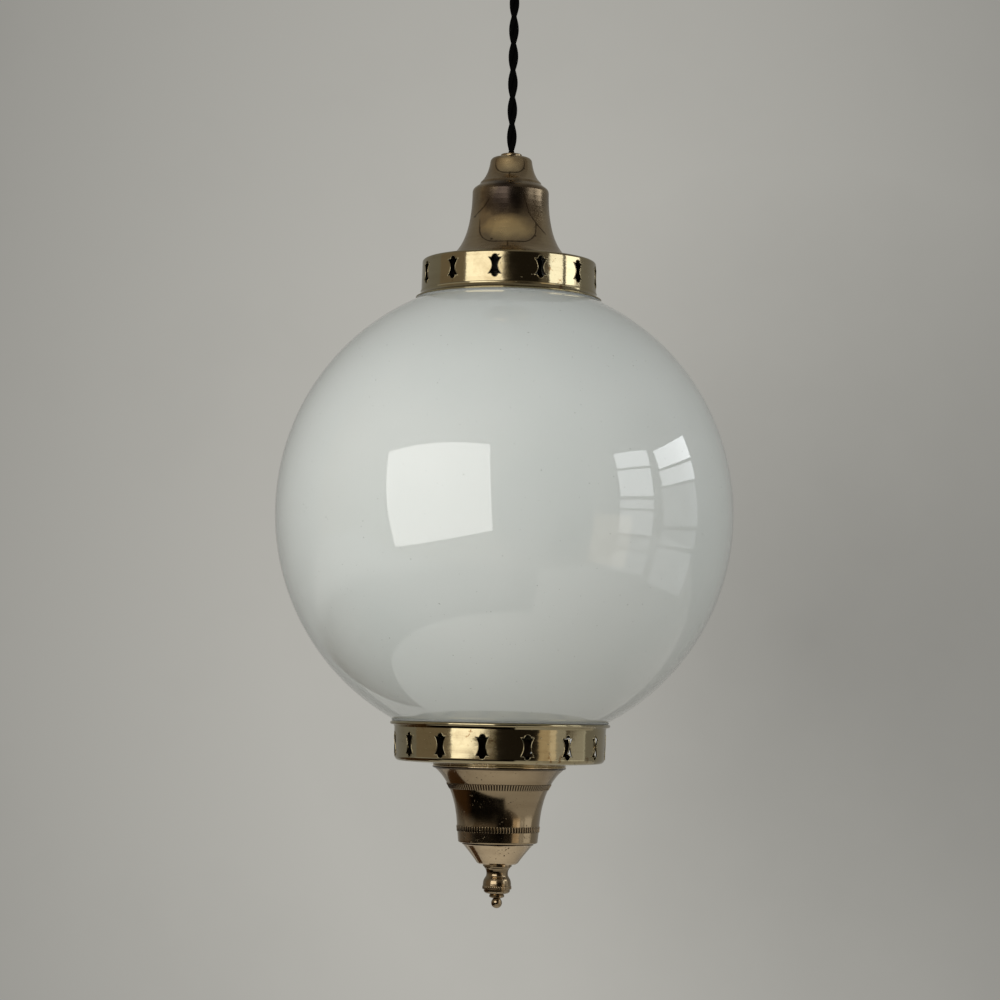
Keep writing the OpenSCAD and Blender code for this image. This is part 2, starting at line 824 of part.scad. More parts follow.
// Hoop: a strip bent round the lampholder and the bulb
leg_low_z = holder_mouth_z + 4;
leg_wide_z = bulb_ball_z + 0.75 * bulb_r;
hoop_bend_r = 3;
hoop_path = concat(
    [[0, strap_z]],
    arc([leg_x - hoop_bend_r + strip_t / 2, strap_z - hoop_bend_r], hoop_bend_r, 90, 0, 6),
    [[leg_x + strip_t / 2, leg_low_z], [hoop_half_w + strip_t / 2, leg_wide_z]],
    arc(
        [hoop_half_w + strip_t / 2 - hoop_corner_r, hoop_floor_z - strip_t + hoop_corner_r],
        hoop_corner_r, 0, -90, 8
    ),
    [[0, hoop_floor_z - strip_t]]
);

module half_hoop() {
    rotate([90, 0, 0])
        translate([0, 0, -strip_w / 2])
            linear_extrude(height = strip_w)
                polygon(concat(hoop_path, backwards(beside(hoop_path, strip_t))));
}

module hoop() {
    color(steel)
    in_lamp()
    difference() {
        union() {
            half_hoop();
            mirror([1, 0, 0])
                half_hoop();
        }
        translate([0, 0, strap_z - strip_t - 1])
            cylinder(h = strip_t + 2, r = nipple_r + fit);
        translate([0, 0, hoop_floor_z - strip_t - 1])
            cylinder(h = strip_t + 2, r = rod_r + fit);
    }
}

// Lampholder

holder_cap_outline = concat(
    [[nipple_r + fit, holder_top_z - fit], [holder_neck_r, holder_top_z - fit]],
    [[holder_neck_r, holder_shoulder_z + 0.5]],
    bezier(
        [holder_neck_r + 0.6, holder_shoulder_z - 0.6], [holder_r - 3, holder_shoulder_z - 1.6],
        [holder_r, holder_shoulder_z - 5], [holder_r, holder_shoulder_z - 9], 8
    ),
    [[holder_r, holder_joint_z + fit]]
);
holder_cap_inside = concat(
    [[holder_r - holder_t, holder_joint_z + fit]],
    bezier(
        [holder_r - holder_t, holder_shoulder_z - 9.5], [holder_r - holder_t, holder_shoulder_z - 6],
        [holder_r - 5, holder_shoulder_z - 3.6], [holder_neck_r + 0.4, holder_shoulder_z - 2.4], 8
    ),
    [[nipple_r + fit, holder_shoulder_z - 2.4]]
);

module holder_cap() {
    color(black)
    in_lamp()
        rotate_extrude()
            polygon(concat(holder_cap_outline, holder_cap_inside));
}

module holder_skirt() {
    lip = 1.4;
    color(black)
    in_lamp()
        rotate_extrude()
            polygon([
                [holder_r - holder_t, holder_joint_z - fit],
                [holder_r, holder_joint_z - fit],
                [holder_r, holder_mouth_z + lip],
                [holder_r - 0.5, holder_mouth_z],
                [sleeve_in_r + sleeve_t + sleeve_gap, holder_mouth_z],
                [sleeve_in_r + sleeve_t + sleeve_gap, holder_mouth_z + lip],
                [holder_r - holder_t, holder_mouth_z + lip]
            ]);
}

module holder_insert() {
    pocket_w = 7;
    pocket_d = 8;
    color(porcelain)
    in_lamp()
    difference() {
        union() {
            translate([0, 0, insert_z])
                cylinder(h = insert_h, r = insert_r);
            translate([0, 0, holder_joint_z - 2])
                cylinder(h = 4, r = holder_r - holder_t - 2 * fit);
        }
        for (side = [-1, 1])
            translate([side * terminal_offset - pocket_w / 2, -pocket_d / 2, holder_joint_z])
                cube([pocket_w, pocket_d, insert_rise + 1]);
    }
}

module holder_terminals() {
    terminal_w = 6;
    terminal_t = 3;
    color(brass)
    in_lamp()
    for (side = [-1, 1])
        translate([side * terminal_offset, 0, holder_joint_z + fit])
            union() {
                translate([-terminal_w / 2, -terminal_w / 2, 0])
                    cube([terminal_w, terminal_w, terminal_t]);
                cylinder(h = insert_rise - 0.6, r = 2, $fn = 48);
            }
}

module holder_contact() {
    color(brass)
    in_lamp()
    union() {
        translate([-9, -2.5, insert_z - 0.6 - fit / 2])
            cube([13, 5, 0.6]);
        translate([0, 0, insert_z - contact_t])
            cylinder(h = contact_t - 0.3, r = 2.6, $fn = 48);
    }
}

module holder_sleeve() {
    color(brass)
    in_lamp()
        ring_band(sleeve_in_r, sleeve_in_r + sleeve_t, holder_mouth_z + 2, insert_z - fit);
}

module lamp_cores() {
    start_x = core_r + 0.3;
    for (side = [-1, 1])
        color(core_colours[side < 0 ? 0 : 1])
        in_lamp()
            tube(concat(
                [[side * start_x, 0, collar_top_z - flex_in_collar - fit]],
                bezier(
                    [side * start_x, 0, nipple_z - 1], [side * start_x, 0, nipple_z - 5],
                    [side * terminal_offset, 0, nipple_z - 1.5],
                    [side * terminal_offset, 0, insert_top_z + 0.2], 8
                )
            ), core_r, 8, [0, 1, 0]);
}

// Bulb

module bulb_cap() {
    bevel = 3;
    wall = bulb_cap_wall;
    color(cap_metal)
    in_lamp()
        rotate_extrude()
            polygon([
                [bulb_cap_r - wall, bulb_cap_z],
                [bulb_cap_r, bulb_cap_z],
                [bulb_cap_r, bulb_shoulder_z - 1],
                [bulb_cap_r - bevel, bulb_shoulder_z],
                [bulb_contact_r, bulb_shoulder_z],
                [bulb_contact_r, bulb_shoulder_z - wall],
                [bulb_cap_r - bevel - wall, bulb_shoulder_z - wall],
                [bulb_cap_r - wall, bulb_shoulder_z - 1 - wall]
            ]);
}

module bulb_contact() {
    color(black)
    in_lamp()
    union() {
        translate([0, 0, bulb_shoulder_z - 1.5])
            cylinder(h = 2.4, r = bulb_contact_r - fit);
        translate([0, 0, bulb_shoulder_z])
            cylinder(h = bulb_button_h, r = 4.6);
    }
}

bulb_neck_r = bulb_cap_r - bulb_cap_wall - 2 * fit;
bulb_ball_join = 20;
bulb_outline = concat(
    [[bulb_neck_r, bulb_cap_z + 8], [bulb_neck_r, bulb_cap_z - 0.5]],
    bezier(
        [bulb_neck_r + 0.8, bulb_cap_z - 1.5], [bulb_neck_r + 3, bulb_cap_z - 12],
        [bulb_r * cos(bulb_ball_join) - 2.5, bulb_ball_z + bulb_r * sin(bulb_ball_join) + 8],
        [bulb_r * cos(bulb_ball_join), bulb_ball_z + bulb_r * sin(bulb_ball_join)], 8
    ),
    arc([0, bulb_ball_z], bulb_r, 10, -89, 12)
);

module bulb_glass() {
    closing = [[0, bulb_bottom_z], [0, bulb_bottom_z + bulb_glass_t]];
    inner = [for (p = backwards(beside(bulb_outline, bulb_glass_t))) if (p[0] > 0.6) p];
    color([0.86, 0.86, 0.84, 0.5])
    in_lamp()
        rotate_extrude()
            polygon(concat(bulb_outline, closing, inner));
}

stem_h = 34;
stem_top_z = bulb_cap_z + 8;
filament_z = stem_top_z - stem_h - 10;

module bulb_stem() {
    color([0.8, 0.82, 0.82, 0.6])
    in_lamp()
    union() {
        translate([0, 0, stem_top_z - stem_h])
            cylinder(h = stem_h, r1 = 2.4, r2 = 4);
        translate([0, 0, stem_top_z - 2])
            cylinder(h = 2, r = bulb_neck_r - bulb_glass_t - 2 * fit);
    }
}

// Filament: a wire bow on two leads that come out of the stem
module bulb_filament() {
    wire_r = 0.5;
    bow_r = 11;
    foot_z = stem_top_z - stem_h + 0.6;
    color([0.5, 0.5, 0.5])
    in_lamp()
        tube(concat(
            [[1, 0, foot_z], [bow_r - 1, 0, filament_z + 1]],
            [for (q = [6 : 12 : 174]) [bow_r * cos(q), bow_r * sin(q), filament_z]],
            [[1 - bow_r, 0, filament_z + 1], [-1, 0, foot_z]]
        ), wire_r, 6, [0, 0, 1]);
}

// Globe

module globe() {
    steps = 56;
    in_r = globe_r - glass_t;
    in_half_h = globe_half_h - glass_t;
    out_from = asin(globe_mouth_r / globe_r);
    in_from = asin(globe_mouth_r / in_r);
    color(opal)
    in_lamp()
        rotate_extrude($fn = 120)
            polygon(concat(
                [for (i = [0 : steps])
                    let (q = out_from + (180 - 2 * out_from) * i / steps)
                        [globe_r * sin(q), globe_half_h * cos(q)]],
                [for (i = [steps : -1 : 0])
                    let (q = in_from + (180 - 2 * in_from) * i / steps)
                        [in_r * sin(q), in_half_h * cos(q)]]
            ));
}

// Bottom gallery: a spun cup with a rolled rim
cup_outline = concat(
    [[cup_rim_r, cup_rim_z], [cup_band_r + 0.5, cup_rim_z - 1]],
    [[cup_band_r, cup_rim_z - 2.6]],
    arc([cup_low_r - cup_corner_r, cup_edge_z + cup_corner_r], cup_corner_r, 0, -84, 7),
    [[base_flange_r + 3, cup_floor_z + 0.5], [base_flange_r + 0.8, cup_floor_z]],
    [[rod_r + 0.3, cup_floor_z]]
);

module bottom_gallery() {
    color(brass)
    in_lamp()
    difference() {
        union() {
            spun(cup_outline, sheet_t);
            rotate_extrude()
                translate([cup_rim_r, cup_rim_z])
                    circle(r = cup_bead_r, $fn = 48);
        }
        cut_outs(
            cup_holes, cup_phase, cup_band_r, cup_rim_z - cup_hole_drop,
            cup_hole_w, cup_hole_waist, cup_hole_h
        );
    }
}

// Lower bell, measured down from the floor that its flange lies against
base_top_z = cup_floor_z - fit;
base_cone_z = base_bottom_z + base_cone_h;
base_edge_z = base_cone_z + 1.4;
base_waist_z = base_edge_z + 10;
base_edge_r = base_body_r - base_body_taper;
base_corner_r = 1.2;
base_outline = concat(
    [[base_flange_r - base_flange_t / 2, base_top_z - base_flange_t / 2]],
    [[base_flange_r - 2.2, base_top_z - base_flange_t]],
    bezier(
        [base_flange_r - 1.9, base_top_z - base_flange_t - 0.3],
        [base_body_r + 7, base_top_z - 9.3],
        [base_body_r + 0.9, base_top_z - 21], [base_body_r, base_waist_z], 14
    ),
    arc(
        [base_edge_r - base_corner_r, base_edge_z + base_corner_r], base_corner_r, 0, -80, 5
    ),
    [[base_cone_r + 0.5, base_edge_z - 0.2], [base_cone_r + 0.4, base_cone_z + 0.4]],
    bezier(
        [base_cone_r - 0.5, base_cone_z - 0.2], [base_cone_r - 3.8, base_cone_z - 4],
        [base_foot_r + 3, base_bottom_z + 5], [base_foot_r, base_bottom_z + 0.8], 6
    ),
    [[base_foot_r - 1.2, base_bottom_z], [rod_r + 0.3, base_bottom_z]]
);
mill_upper_z = base_top_z - 13.9;
mill_lower_z = base_waist_z - 0.8;

module raised_band(outline, z, h) {
    low_r = radius_at(outline, z - h / 2);
    high_r = radius_at(outline, z + h / 2);
    rotate_extrude()
        polygon([
            [low_r - 0.3, z - h / 2],
            [low_r + mill_out, z - h / 2 + 0.3],
            [high_r + mill_out, z + h / 2 - 0.3],
            [high_r - 0.3, z + h / 2]
        ]);
}

module lower_bell() {
    color(brass)
    in_lamp()
    union() {
        spun(base_outline, sheet_t);
        rotate_extrude()
            translate([base_flange_r - base_flange_t / 2, base_top_z - base_flange_t / 2])
                circle(r = base_flange_t / 2, $fn = 48);
        ring_band(
            base_flange_r - 5, base_flange_r - base_flange_t / 2,
            base_top_z - sheet_t, base_top_z
        );
        raised_band(base_outline, mill_upper_z, base_mill_upper_h);
        raised_band(base_outline, mill_lower_z, base_mill_lower_h);
    }
}

// Rod, nuts and finial

module tie_rod() {
    color(steel)
    in_lamp()
        translate([0, 0, rod_z])
            cylinder(h = rod_top_z - rod_z, r = rod_r);
}

module rod_nuts() {
    color(steel)
    in_lamp() {
        translate([0, 0, hoop_floor_z + fit])
            hex_nut(rod_nut_af, rod_nut_h, rod_r + fit);
        translate([0, 0, hoop_floor_z - strip_t - rod_nut_h - fit])
            hex_nut(rod_nut_af, rod_nut_h, rod_r + fit);
    }
}

module finial_washer() {
    color(brass)
    in_lamp()
        ring_band(rod_r + fit, finial_r, washer_z - finial_washer_t, washer_z);
}

// Outline of the finial, measured down from its flange
finial_ball_z = finial_z - finial_h + finial_ball_r;
finial_bulge_z = finial_z - 11;
finial_disc_z = finial_ball_z + 4.4;
finial_bore_spare = 1.5;
finial_outline = concat(
    [[rod_r + fit, finial_z], [finial_r - 0.6, finial_z], [finial_r - 0.9, finial_z - 0.7]],
    bezier(
        [finial_r - 1.4, finial_z - 1.2], [finial_neck_r, finial_z - 2.4],
        [finial_neck_r - 0.2, finial_z - 5.4], [finial_neck_r + 0.5, finial_z - 6.4], 6
    ),
    bezier(
        [finial_neck_r + 1, finial_z - 7.2], [finial_r - 0.5, finial_bulge_z + 2.4],
        [finial_r - 0.2, finial_bulge_z + 1], [finial_r - 0.2, finial_bulge_z - 1.2], 5
    ),
    [[finial_r, finial_bulge_z - 1.5], [finial_r, finial_bulge_z - 3.5]],
    [[finial_r - 0.8, finial_bulge_z - 3.9], [finial_r - 0.9, finial_bulge_z - 5]],
    bezier(
        [finial_r - 1.2, finial_bulge_z - 5.5], [finial_r - 2.6, finial_bulge_z - 7],
        [4.9, finial_disc_z + 1.8], [4.5, finial_disc_z + 1], 5
    ),
    [[4.9, finial_disc_z + 0.5], [4.9, finial_disc_z - 0.5], [4.2, finial_disc_z - 1]],
    [for (q = [50 : -15 : -85]) [finial_ball_r * cos(q), finial_ball_z + finial_ball_r * sin(q)]],
    [
        [0, finial_ball_z - finial_ball_r],
        [0, rod_z - finial_bore_spare],
        [rod_r + fit, rod_z - finial_bore_spare]
    ]
);

module finial() {
    color(old_brass)
    in_lamp()
        rotate_extrude()
            polygon(finial_outline);
}

ceiling_plate();
canopy();
canopy_screws();
weld_nut();
ceiling_hook();
terminal_block();
terminal_screws();
block_screw();
ceiling_cores();
suspension_ring();
clamp_bail();
clamp_front();
clamp_back();
clamp_screws();
flex();
nipple_collar();
flex_bush();
nipple();
top_bell();
bell_nut();
strap_nut();
top_gallery();
upper_gasket();
hoop();
holder_cap();
holder_insert();
holder_terminals();
holder_contact();
holder_sleeve();
holder_skirt();
lamp_cores();
bulb_cap();
bulb_contact();
bulb_glass();
bulb_stem();
bulb_filament();
globe();
lower_gasket();
bottom_gallery();
lower_bell();
tie_rod();
rod_nuts();
finial_washer();
finial();
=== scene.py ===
import json
import math

import bpy
from mathutils import Matrix, Vector

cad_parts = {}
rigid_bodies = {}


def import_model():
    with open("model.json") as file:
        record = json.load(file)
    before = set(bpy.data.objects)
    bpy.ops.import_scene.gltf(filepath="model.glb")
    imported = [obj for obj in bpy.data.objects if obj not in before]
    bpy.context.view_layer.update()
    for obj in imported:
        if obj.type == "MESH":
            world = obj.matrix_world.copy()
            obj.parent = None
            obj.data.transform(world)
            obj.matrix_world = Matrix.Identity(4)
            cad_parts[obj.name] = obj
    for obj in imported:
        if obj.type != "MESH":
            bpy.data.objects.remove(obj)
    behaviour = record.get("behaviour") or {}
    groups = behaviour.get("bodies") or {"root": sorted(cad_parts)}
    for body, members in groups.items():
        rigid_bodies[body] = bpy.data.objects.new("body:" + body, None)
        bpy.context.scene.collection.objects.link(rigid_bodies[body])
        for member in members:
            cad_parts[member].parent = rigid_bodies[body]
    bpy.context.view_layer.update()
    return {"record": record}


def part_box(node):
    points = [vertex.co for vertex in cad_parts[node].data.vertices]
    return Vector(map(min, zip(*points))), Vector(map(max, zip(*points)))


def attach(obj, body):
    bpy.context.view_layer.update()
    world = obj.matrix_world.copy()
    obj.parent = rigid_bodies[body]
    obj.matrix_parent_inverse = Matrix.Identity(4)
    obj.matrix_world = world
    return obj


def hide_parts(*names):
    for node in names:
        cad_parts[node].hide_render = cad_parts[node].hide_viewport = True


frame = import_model()

MM = 0.001

# Places in the lamp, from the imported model
globe_low, globe_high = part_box("globe")
GLOBE = (Vector(globe_low) + Vector(globe_high)) / 2
GLOBE_HALF_W = globe_high[0]
GLOBE_HALF_H = 153 * MM
TOP_BELL_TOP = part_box("top_bell")[1][2]
TOP_GALLERY_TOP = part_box("top_gallery")[1][2]
CUP_RIM_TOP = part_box("bottom_gallery")[1][2]
LOWER_BELL_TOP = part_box("lower_bell")[1][2]
LOWER_BELL_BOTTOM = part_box("lower_bell")[0][2]
FINIAL_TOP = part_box("finial")[1][2]


def around(azimuth, elevation, distance):
    """A place round the globe: azimuth 0 is in front of it, and 90 is to its right."""
    a, e = math.radians(azimuth), math.radians(elevation)
    way = Vector((math.sin(a) * math.cos(e), -math.cos(a) * math.cos(e), math.sin(e)))
    return GLOBE + distance * way


# Camera: a little below the globe's middle, looking slightly up, and tilted by a degree
EYE = Vector((-0.0030, -1.893, GLOBE.z - 0.1232))
LOOK_UP = 4.0
TILT = 1.15
FOCAL = 104.3


def make_camera():
    data = bpy.data.cameras.new("camera")
    data.lens = FOCAL
    data.clip_start = 0.05
    camera = bpy.data.objects.new("camera", data)
    bpy.context.collection.objects.link(camera)
    turn = Matrix.Rotation(math.radians(90 + LOOK_UP), 4, "X") @ Matrix.Rotation(math.radians(TILT), 4, "Z")
    camera.matrix_world = Matrix.Translation(EYE) @ turn
    bpy.context.scene.camera = camera


make_camera()


def make_mesh(name, points, faces):
    mesh = bpy.data.meshes.new(name)
    mesh.from_pydata([tuple(p) for p in points], [], faces)
    mesh.validate()
    mesh.polygons.foreach_set("use_smooth", [True] * len(mesh.polygons))
    mesh.update()
    piece = bpy.data.objects.new(name, mesh)
    bpy.context.collection.objects.link(piece)
    return piece


# Flex: two braided strands twisted round each other. Its route is the plain tube's, from the cord clamp
# down into the bush, with a point every 10 mm, and it comes out of the bush at its exit
FLEX_ROUTE = [(0, 0, -z * MM) for z in range(38, 189, 10)]
FLEX_DIAMETER = 6.5 * MM
STRAND_R = 1.6 * MM
TWIST_PITCH = 36 * MM
# A height at which one strand lies right behind the other, seen from the front
PINCH_Z = -89.6 * MM
STRAND_SIDES = 28
RING_STEP = 0.35 * MM
# Room at the route's ends for the slant of a strand's end
END_ROOM = 0.6 * MM
BRAID_RELIEF = 0.07 * MM
# Threads that run each way round a strand, and the length of one turn of a thread
BRAID_THREADS = 7
BRAID_PITCH = 7.5 * MM


def braid_height(angle, along):
    """Relief of a braid: threads that cross over and under each other."""
    lead = 2 * math.pi * along / BRAID_PITCH
    one = math.sin(BRAID_THREADS * (angle + lead))
    other = math.sin(BRAID_THREADS * (angle - lead))
    return BRAID_RELIEF * max(one, other)


def make_strand(side):
    """The points of one strand's rings, from the clamp down to the bush, and how many steps they are."""
    top, bottom = FLEX_ROUTE[0][2] - END_ROOM, FLEX_ROUTE[-1][2] + END_ROOM
    rings = round((top - bottom) / RING_STEP)
    centre_r = FLEX_DIAMETER / 2 - STRAND_R - BRAID_RELIEF
    slope = 2 * math.pi * centre_r / TWIST_PITCH
    points = []
    for i in range(rings + 1):
        z = top + (bottom - top) * i / rings
        turn = math.pi / 2 + 2 * math.pi * (z - PINCH_Z) / TWIST_PITCH + (math.pi if side else 0)
        outward = Vector((math.cos(turn), math.sin(turn), 0))
        ahead = Vector((-math.sin(turn) * slope, math.cos(turn) * slope, 1)).normalized()
        across = ahead.cross(outward)
        for k in range(STRAND_SIDES):
            angle = 2 * math.pi * k / STRAND_SIDES
            r = STRAND_R + braid_height(angle, z)
            from_centre = math.cos(angle) * outward + math.sin(angle) * across
            points.append(centre_r * outward + Vector((0, 0, z)) + r * from_centre)
    return points, rings


def make_flex():
    points, faces = [], []
    for side in (0, 1):
        first = len(points)
        strand, rings = make_strand(side)
        points += strand
        for i in range(rings):
            for k in range(STRAND_SIDES):
                a = first + i * STRAND_SIDES + k
                b = first + i * STRAND_SIDES + (k + 1) % STRAND_SIDES
                faces.append((a, b, b + STRAND_SIDES, a + STRAND_SIDES))
        faces.append([first + k for k in reversed(range(STRAND_SIDES))])
        faces.append([first + rings * STRAND_SIDES + k for k in range(STRAND_SIDES)])
    flex = make_mesh("flex_twisted_pair", points, faces)
    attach(flex, "drop")
    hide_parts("flex")
    return flex


flex_piece = make_flex()


# Materials
NOISE_RANGE = (0.3, 0.7)
# Places of a Mix node's factor, its two colours and their mix among its sockets
MIX_FACTOR, MIX_ONE, MIX_OTHER, MIX_RESULT = 0, 6, 7, 2


def add(tree, kind, inputs=None, **settings):
    """Adds a node. Each input is a value or another node's output."""
    node = tree.nodes.new("ShaderNode" + kind)
    for name, value in settings.items():
        setattr(node, name, value)
    for name, value in (inputs or {}).items():
        if isinstance(value, bpy.types.NodeSocket):
            tree.links.new(value, node.inputs[name])
        else:
            node.inputs[name].default_value = value
    return node


def start(name):
    material = bpy.data.materials.new(name)
    material.use_nodes = True
    material.node_tree.nodes.clear()
    return material, material.node_tree


def end(tree, **inputs):
    """The surface shader. An input's name has its spaces as underscores."""
    shader = add(tree, "BsdfPrincipled", {k.replace("_", " "): v for k, v in inputs.items()})
    out = add(tree, "OutputMaterial")
    tree.links.new(shader.outputs["BSDF"], out.inputs["Surface"])


def rgba(colour):
    return (*colour, 1.0)


def place(tree):
    return add(tree, "TexCoord").outputs["Object"]


def noise(tree, scale, detail, roughness=0.5):
    inputs = {"Vector": place(tree), "Scale": scale, "Detail": detail, "Roughness": roughness}
    return add(tree, "TexNoise", inputs).outputs["Fac"]


def stretched(tree, scale):
    """Object coordinates with a scale of their own along each axis."""
    return add(tree, "VectorMath", {0: place(tree), 1: scale}, operation="MULTIPLY").outputs["Vector"]


def turned_lines(tree, round_scale, across_scale):
    """Noise in fine lines round the upright axis, as a lathe leaves them."""
    flat = stretched(tree, (1, 1, 0))
    radius = add(tree, "VectorMath", {0: flat}, operation="LENGTH").outputs["Value"]
    parts = add(tree, "SeparateXYZ", {"Vector": place(tree)}).outputs
    values = (parts["X"], parts["Y"], radius, parts["Z"])
    scales = (round_scale, round_scale, across_scale, across_scale)
    scaled = [maths(tree, "MULTIPLY", value, scale) for value, scale in zip(values, scales)]
    vector = add(tree, "CombineXYZ", dict(zip("XYZ", scaled))).outputs["Vector"]
    inputs = {"Vector": vector, "W": scaled[3], "Scale": 1.0, "Detail": 4.0}
    return add(tree, "TexNoise", inputs, noise_dimensions="4D").outputs["Fac"]


def between(tree, value, low, high, to_low=0.0, to_high=1.0):
    """Maps the value from one range to another, and holds it there."""
    return add(
        tree, "MapRange",
        {"Value": value, "From Min": low, "From Max": high, "To Min": to_low, "To Max": to_high},
    ).outputs["Result"]


def spread(tree, value, to_low, to_high):
    """Maps noise, which seldom leaves the middle of its range, to a range of its own."""
    return between(tree, value, *NOISE_RANGE, to_low, to_high)


def blended(tree, factor, one, other):
    """One colour or the other, or a mix. Each of the three is a value or another node's output."""
    node = tree.nodes.new("ShaderNodeMix")
    node.data_type = "RGBA"
    for index, value in ((MIX_FACTOR, factor), (MIX_ONE, one), (MIX_OTHER, other)):
        if isinstance(value, bpy.types.NodeSocket):
            tree.links.new(value, node.inputs[index])
        else:
            node.inputs[index].default_value = value
    return node.outputs[MIX_RESULT]


def added(tree, one, other):
    return add(tree, "Math", {0: one, 1: other}, operation="ADD", use_clamp=True).outputs["Value"]


def bump(tree, height, distance, normal=None):
    inputs = {"Height": height, "Distance": distance, "Strength": 1.0}
    if normal:
        inputs["Normal"] = normal
    return add(tree, "Bump", inputs).outputs["Normal"]


def maths(tree, kind, one, other=0.0):
    return add(tree, "Math", {0: one, 1: other}, operation=kind).outputs["Value"]


def vectors(tree, kind, one, other, result="Vector"):
    return add(tree, "VectorMath", {0: one, 1: other}, operation=kind).outputs[result]


def scaled_by(tree, vector, share):
    return add(tree, "VectorMath", {0: vector, "Scale": share}, operation="SCALE").outputs["Vector"]


def unit(tree, vector):
    return add(tree, "VectorMath", {0: vector}, operation="NORMALIZE").outputs["Vector"]


def swung(tree, height, amount, normal):
    """The surface's direction, swung level by the height's distance from a half."""
    level = vectors(tree, "CROSS_PRODUCT", (0, 0, 1), normal)
    share = between(tree, height, 0.0, 1.0, -amount, amount)
    return unit(tree, vectors(tree, "ADD", normal, scaled_by(tree, level, share)))


def wavering(tree, normal, scale, amount):
    """A direction that drifts slowly from place to place."""
    drift = add(tree, "TexNoise", {"Vector": place(tree), "Scale": scale, "Detail": 1.0}).outputs["Color"]
    centred = vectors(tree, "SUBTRACT", drift, (0.5, 0.5, 0.5))
    return unit(tree, vectors(tree, "ADD", normal, scaled_by(tree, centred, amount)))


def true_direction(tree, outward, other, same, where=1.0):
    """A curve's exact direction on both its walls. The mesh's own stays where the two differ too much."""
    outward = add(
        tree, "VectorTransform", {"Vector": outward}, vector_type="NORMAL", convert_from="OBJECT",
        convert_to="WORLD",
    ).outputs["Vector"]
    meshed = add(tree, "NewGeometry").outputs["Normal"]
    along = vectors(tree, "DOT_PRODUCT", unit(tree, outward), meshed, "Value")
    true = scaled_by(tree, unit(tree, outward), maths(tree, "SIGN", along))
    share = maths(tree, "MULTIPLY", between(tree, maths(tree, "ABSOLUTE", along), other, same), where)
    rest = scaled_by(tree, meshed, maths(tree, "SUBTRACT", 1.0, share))
    return unit(tree, vectors(tree, "ADD", scaled_by(tree, true, share), rest))


# Cosines of the angle between a curve's direction and its mesh's: the mesh's stays below the first, and
# the curve's is used above the second
GLOBE_MATCH = (0.7, 0.8)
FLARE_MATCH = (0.97, 0.985)


def blown_normal(tree):
    """The globe's exact curve, an ellipsoid."""
    from_middle = vectors(tree, "SUBTRACT", place(tree), tuple(GLOBE))
    flattened = (GLOBE_HALF_W ** -2, GLOBE_HALF_W ** -2, GLOBE_HALF_H ** -2)
    return true_direction(tree, vectors(tree, "MULTIPLY", from_middle, flattened), *GLOBE_MATCH)


# The lower bell's flare: a curve with these four points, each its radius and its height from the bell's
# top in millimetres, and the steps in which a ramp holds the curve's slope
FLARE = [(41.6, -2.7), (33.8, -9.3), (27.7, -21), (26.8, -40.3)]
FLARE_STOPS = 16


def flare_normal(tree):
    """The lower bell's exact curve, where its mesh has one cone after another."""
    low, high = (LOWER_BELL_TOP + FLARE[i][1] * MM for i in (3, 0))
    z = front_place(tree)[1]
    ramp = add(tree, "ValToRGB", {"Fac": between(tree, z, low, high)})
    steps = [Vector(FLARE[i + 1]) - Vector(FLARE[i]) for i in range(3)]
    stops = ramp.color_ramp.elements
    for i in range(FLARE_STOPS + 1):
        t = 1 - i / FLARE_STOPS
        terms = [n * (1 - t) ** (3 - k) * t ** k * FLARE[k][1] for k, n in enumerate((1, 3, 3, 1))]
        here = sum(terms, 0.0)
        run = (1 - t) ** 2 * steps[0] + 2 * t * (1 - t) * steps[1] + t ** 2 * steps[2]
        share = (here - FLARE[3][1]) / (FLARE[0][1] - FLARE[3][1])
        stop = stops[i] if i < 2 else stops.new(share)
        stop.position = share
        stop.color = rgba([run.x / run.y] * 3)
    down = scaled_by(tree, (0, 0, -1), ramp.outputs["Color"])
    outward = vectors(tree, "ADD", unit(tree, stretched(tree, (1, 1, 0))), down)
    return true_direction(tree, outward, *FLARE_MATCH, between(tree, z, low, low + 1 * MM))


def inner_side(tree):
    """1 where the surface faces the lamp's axis, and 0 where it faces outwards."""
    facing = add(tree, "TexCoord").outputs["Normal"]
    outward = unit(tree, stretched(tree, (1, 1, 0)))
    return between(tree, vectors(tree, "DOT_PRODUCT", facing, outward, "Value"), -0.25, -0.5)


def front_place(tree):
    """Sideways and upright places on the object, for marks that face the front and the back."""
    parts = add(tree, "SeparateXYZ", {"Vector": place(tree)})
    return parts.outputs["X"], parts.outputs["Z"]


def flat_length(tree, one, other):
    both = add(tree, "CombineXYZ", {"X": one, "Y": other}).outputs["Vector"]
    return add(tree, "VectorMath", {0: both}, operation="LENGTH").outputs["Value"]


def blob(tree, middle, radii, fade):
    """1 in an oval patch, fading to 0 at its edge."""
    x, z = front_place(tree)
    across = maths(tree, "DIVIDE", maths(tree, "SUBTRACT", x, middle[0]), radii[0])
    up = maths(tree, "DIVIDE", maths(tree, "SUBTRACT", z, middle[1]), radii[1])
    far = flat_length(tree, across, up)
    wobble = spread(tree, noise(tree, 130, 3), -0.12, 0.12)
    return between(tree, maths(tree, "ADD", far, wobble), 1 - fade, 1, 1, 0)


# A drawn line's half width at its thinnest and its widest, in millimetres, and the fade at its edge
LINE_HALF_WIDTHS = (0.12, 0.42)
LINE_FADE = 0.25 * MM


def line_at(tree, distance, wide=1.0):
    """1 on a thin line where the distance is 0."""
    half_width = spread(tree, noise(tree, 420, 2), *(w * wide * MM for w in LINE_HALF_WIDTHS))
    past = maths(tree, "SUBTRACT", maths(tree, "ABSOLUTE", distance), half_width)
    return between(tree, past, 0.0, LINE_FADE, 1, 0)


# Height over which a loop of painted reflection line fades out at its top
LOOP_FADE = 5 * MM


